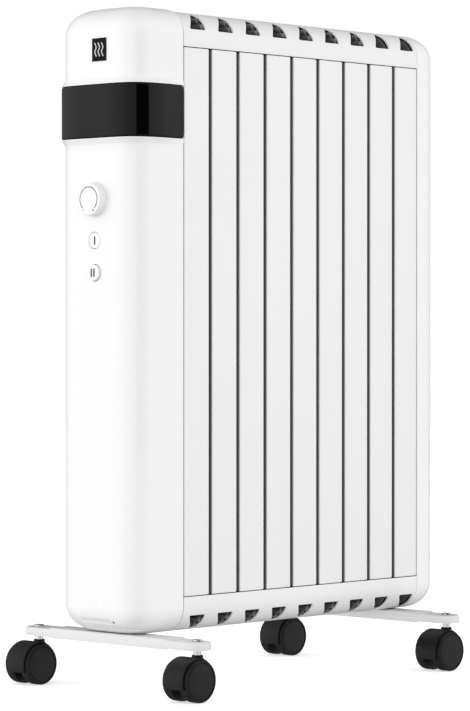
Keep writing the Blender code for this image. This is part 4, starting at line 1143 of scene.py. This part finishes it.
for end in ("front", "rear"):
    for side in ("left", "right"):
        corner = f"{end}_{side}_caster"
        axle_low, axle_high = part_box(f"{corner}_axle")
        axle = (axle_low + axle_high) / 2
        stem_low, stem_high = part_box(f"{corner}_stem")
        stem = (stem_low + stem_high) / 2
        hood_low, hood_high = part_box(f"{corner}_hood")
        wheel_radius = axle.z

        collar = spin(rounded(
            (0, COLLAR_FOOT, 0), (0.0072, COLLAR_FOOT, 0), (0.0066, COLLAR_SHOULDER, 0.002),
            (COLLAR_RADIUS, COLLAR_SHOULDER + 0.0010, 0.0006),
            (COLLAR_RADIUS, hood_high.z, 0.0009), (COLLAR_BORE, hood_high.z, 0.0003),
            (COLLAR_BORE, COLLAR_MOUTH, 0), (0, COLLAR_MOUTH, 0)),
            (stem.x, stem.y, 0), (0, 0, 1), 48)
        guard = lie_grids(f"moulded_{corner}_hood", hood_skin(axle, HOOD_OUTER))
        press(soften(thicken(guard, HOOD_WALL), 0.0003))
        core = lie_grids(f"moulded_{corner}_core", hood_web(axle, HOOD_OUTER - 0.001), collar)
        mount(guard, (NYLON_FINISH,), "caster_black", corner, f"{corner}_hood")
        mount(press(core, 40.0), (NYLON_FINISH,), "caster_black", corner, f"{corner}_hood")
        keep(PLATED_FINISH, f"{corner}_axle")

        shank = spin(rounded(
            (0, stem_low.z, 0), (STEM_RADIUS, stem_low.z, 0), (STEM_RADIUS, STEM_HEAD_FROM, 0)),
            (stem.x, stem.y, 0), (0, 0, 1), 40)
        head = spin(rounded(
            (STEM_RADIUS, STEM_HEAD_FROM, 0), (0.0050, STEM_HEAD_FROM, 0.0002),
            (0.0048, stem_high.z, 0.0009), (0, stem_high.z, 0)), (stem.x, stem.y, 0), (0, 0, 1), 40)
        stem_piece = lie_grids(f"plated_{corner}_stem", shank, head, shades=(0, 1))
        mount(press(stem_piece, 40.0), (PLATED_FINISH, FOOT_FINISH), "bare_steel", "heater",
              f"{corner}_stem")

        for hand, out in (("left", -1), ("right", 1)):
            node = f"{corner}_wheel_{hand}"
            low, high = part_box(node)
            face = high.x - low.x
            inner_x = low.x if out > 0 else high.x
            wheel = lie_grids(f"moulded_{node}", spin(rounded(
                (0, 0.0, 0), (wheel_radius, 0.0, 0.0006), (wheel_radius, face - 0.0004, 0.0014),
                (WHEEL_RIM_GROOVE + 0.0006, face - 0.0004, 0.0002),
                (WHEEL_RIM_GROOVE + 0.0003, face - 0.0011, 0.0002),
                (WHEEL_RIM_GROOVE - 0.0003, face - 0.0011, 0.0002),
                (WHEEL_RIM_GROOVE - 0.0007, face - 0.0005, 0.0004), (0.010, face - 0.00005, 0.004),
                (0, face, 0)), (inner_x, axle.y, axle.z), (out, 0, 0), 96))
            mount(press(wheel, 40.0), (NYLON_FINISH,), "caster_black", f"{corner}_{hand}_wheel",
                  node)

# ---- the room ---------------------------------------------------------------
# Not part of the heater: a pale floor and a soft white tent of light, brightest level with the
# heater and duller behind the camera, with a black card that shows as a stripe in glossy black.

FLOOR_REACH = 6.0
FLOOR_PALE = (0.92, 0.92, 0.92, 1.0)
FLOOR_GLOW = 0.55
FLOOR_UNDER = 0.0003
CARD_DISTANCE = 2.4
CARD_BEARING = -13.0         # degrees from +X
CARD_HALF_WIDTH = 1.45
CARD_SOFT_EDGE = 0.35
CARD_TOP = 1.9
TENT_BASE = 0.26
TENT_LEVEL = 1.52
BELOW_LEVEL_SHARE = 0.72
DULL_BEARING = -40.0
DULL_SHARE = 0.13
BEHIND_BEARING = 133.0
BEHIND_SHARE = 0.45
BRIGHT_BEARING = 215.0
BRIGHT_SHARE = 0.06


def flat_sheet(name, corners, finish):
    """A single four-cornered sheet for the room."""
    mesh = bpy.data.meshes.new(name)
    mesh.from_pydata(corners, [], [(0, 1, 2, 3)])
    mesh.materials.append(finish)
    sheet = bpy.data.objects.new(name, mesh)
    bpy.context.scene.collection.objects.link(sheet)
    return sheet


def bearing_of(degrees):
    """Unit vector level with the floor at a bearing from +X."""
    return np.array([math.cos(math.radians(degrees)), math.sin(math.radians(degrees))])


FLOOR_FINISH = finish_of("studio_floor", FLOOR_PALE, 0.85, blotches=0.005,
                         Emission_Color=(1.0, 1.0, 1.0, 1.0), Emission_Strength=FLOOR_GLOW)
floor = flat_sheet("studio_floor", [(x * FLOOR_REACH, y * FLOOR_REACH, -FLOOR_UNDER)
                                    for x, y in ((-1, -1), (1, -1), (1, 1), (-1, 1))],
                   FLOOR_FINISH)
floor.visible_diffuse = False
floor.visible_glossy = False

card_middle = bearing_of(CARD_BEARING) * CARD_DISTANCE
card_along = bearing_of(CARD_BEARING + 90) * CARD_HALF_WIDTH


def black_in_the_middle(tree, shader):
    """Card that glows like the tent along its upright edges and is black across its middle."""
    place = add(tree, "TexCoord").outputs["Object"]
    off_middle = add(tree, "VectorMath", {"operation": "SUBTRACT"}, Vector=place)
    off_middle.inputs[1].default_value = (*card_middle, 0.0)
    across = add(tree, "VectorMath", {"operation": "DOT_PRODUCT"}, Vector=off_middle.outputs[0])
    across.inputs[1].default_value = (*bearing_of(CARD_BEARING + 90), 0.0)
    distance = reckon(tree, "ABSOLUTE", across.outputs["Value"])
    glow = between(tree, distance, CARD_HALF_WIDTH - CARD_SOFT_EDGE, CARD_HALF_WIDTH)
    pale = add(tree, "CombineXYZ", X=glow, Y=glow, Z=glow)
    feed(tree, shader.inputs["Emission Color"], pale.outputs["Vector"])
    shader.inputs["Emission Strength"].default_value = TENT_BASE + TENT_LEVEL


CARD_FINISH = finish_of("black_card", (0.001, 0.001, 0.001, 1.0), 1.0, Specular_IOR_Level=0.0)
black_in_the_middle(CARD_FINISH.node_tree, CARD_FINISH.node_tree.nodes["Principled BSDF"])
card = flat_sheet("black_card", [(*(card_middle - card_along), 0.0),
                                 (*(card_middle + card_along), 0.0),
                                 (*(card_middle + card_along), CARD_TOP),
                                 (*(card_middle - card_along), CARD_TOP)], CARD_FINISH)
card.visible_camera = False
card.visible_diffuse = False
card.visible_shadow = False


def tent_of_light(tree):
    """Light from each direction: base + level * (1 - up^2), less from below, from behind and
    towards the dull bearing, more towards the bright one; straight into the camera it is plain
    white."""
    way = add(tree, "TexCoord").outputs["Generated"]
    up = add(tree, "SeparateXYZ", Vector=way).outputs["Z"]
    level = reckon(tree, "SUBTRACT", 1.0, reckon(tree, "MULTIPLY", up, up))
    light = reckon(tree, "MULTIPLY_ADD", level, TENT_LEVEL, TENT_BASE)
    light = reckon(tree, "MULTIPLY", light, between(tree, up, -0.25, 0.05, BELOW_LEVEL_SHARE, 1.0))
    for bearing, share in ((DULL_BEARING, -DULL_SHARE), (BEHIND_BEARING, -BEHIND_SHARE),
                           (BRIGHT_BEARING, BRIGHT_SHARE)):
        towards = add(tree, "VectorMath", {"operation": "DOT_PRODUCT"}, Vector=way)
        towards.inputs[1].default_value = (*bearing_of(bearing), 0.0)
        lobe = between(tree, towards.outputs["Value"], 0.0, 1.0, 1.0, 1.0 + 2 * share)
        light = reckon(tree, "MULTIPLY", light, lobe)
    seen = add(tree, "LightPath").outputs["Is Camera Ray"]
    strength = add(tree, "Mix", {"data_type": "FLOAT"}, Factor=seen, A=light, B=1.0)
    feed(tree, tree.nodes["Background"].inputs["Strength"], strength.outputs["Result"])
    tree.nodes["Background"].inputs["Color"].default_value = (1.0, 1.0, 1.0, 1.0)


world = bpy.data.worlds.new("soft_white_tent")
bpy.context.scene.world = world
world.use_nodes = True
tent_of_light(world.node_tree)

lens = bpy.data.cameras.new("camera")
lens.lens = 154.8
lens.sensor_width = 36.0
lens.clip_end = 50.0
camera = bpy.data.objects.new("camera", lens)
camera.location = (2.1037, -2.2582, 0.3505)
camera.rotation_euler = (math.radians(89.488), 0.0, math.radians(43.28))
bpy.context.scene.collection.objects.link(camera)
bpy.context.scene.camera = camera
bpy.context.scene.view_settings.view_transform = "Standard"
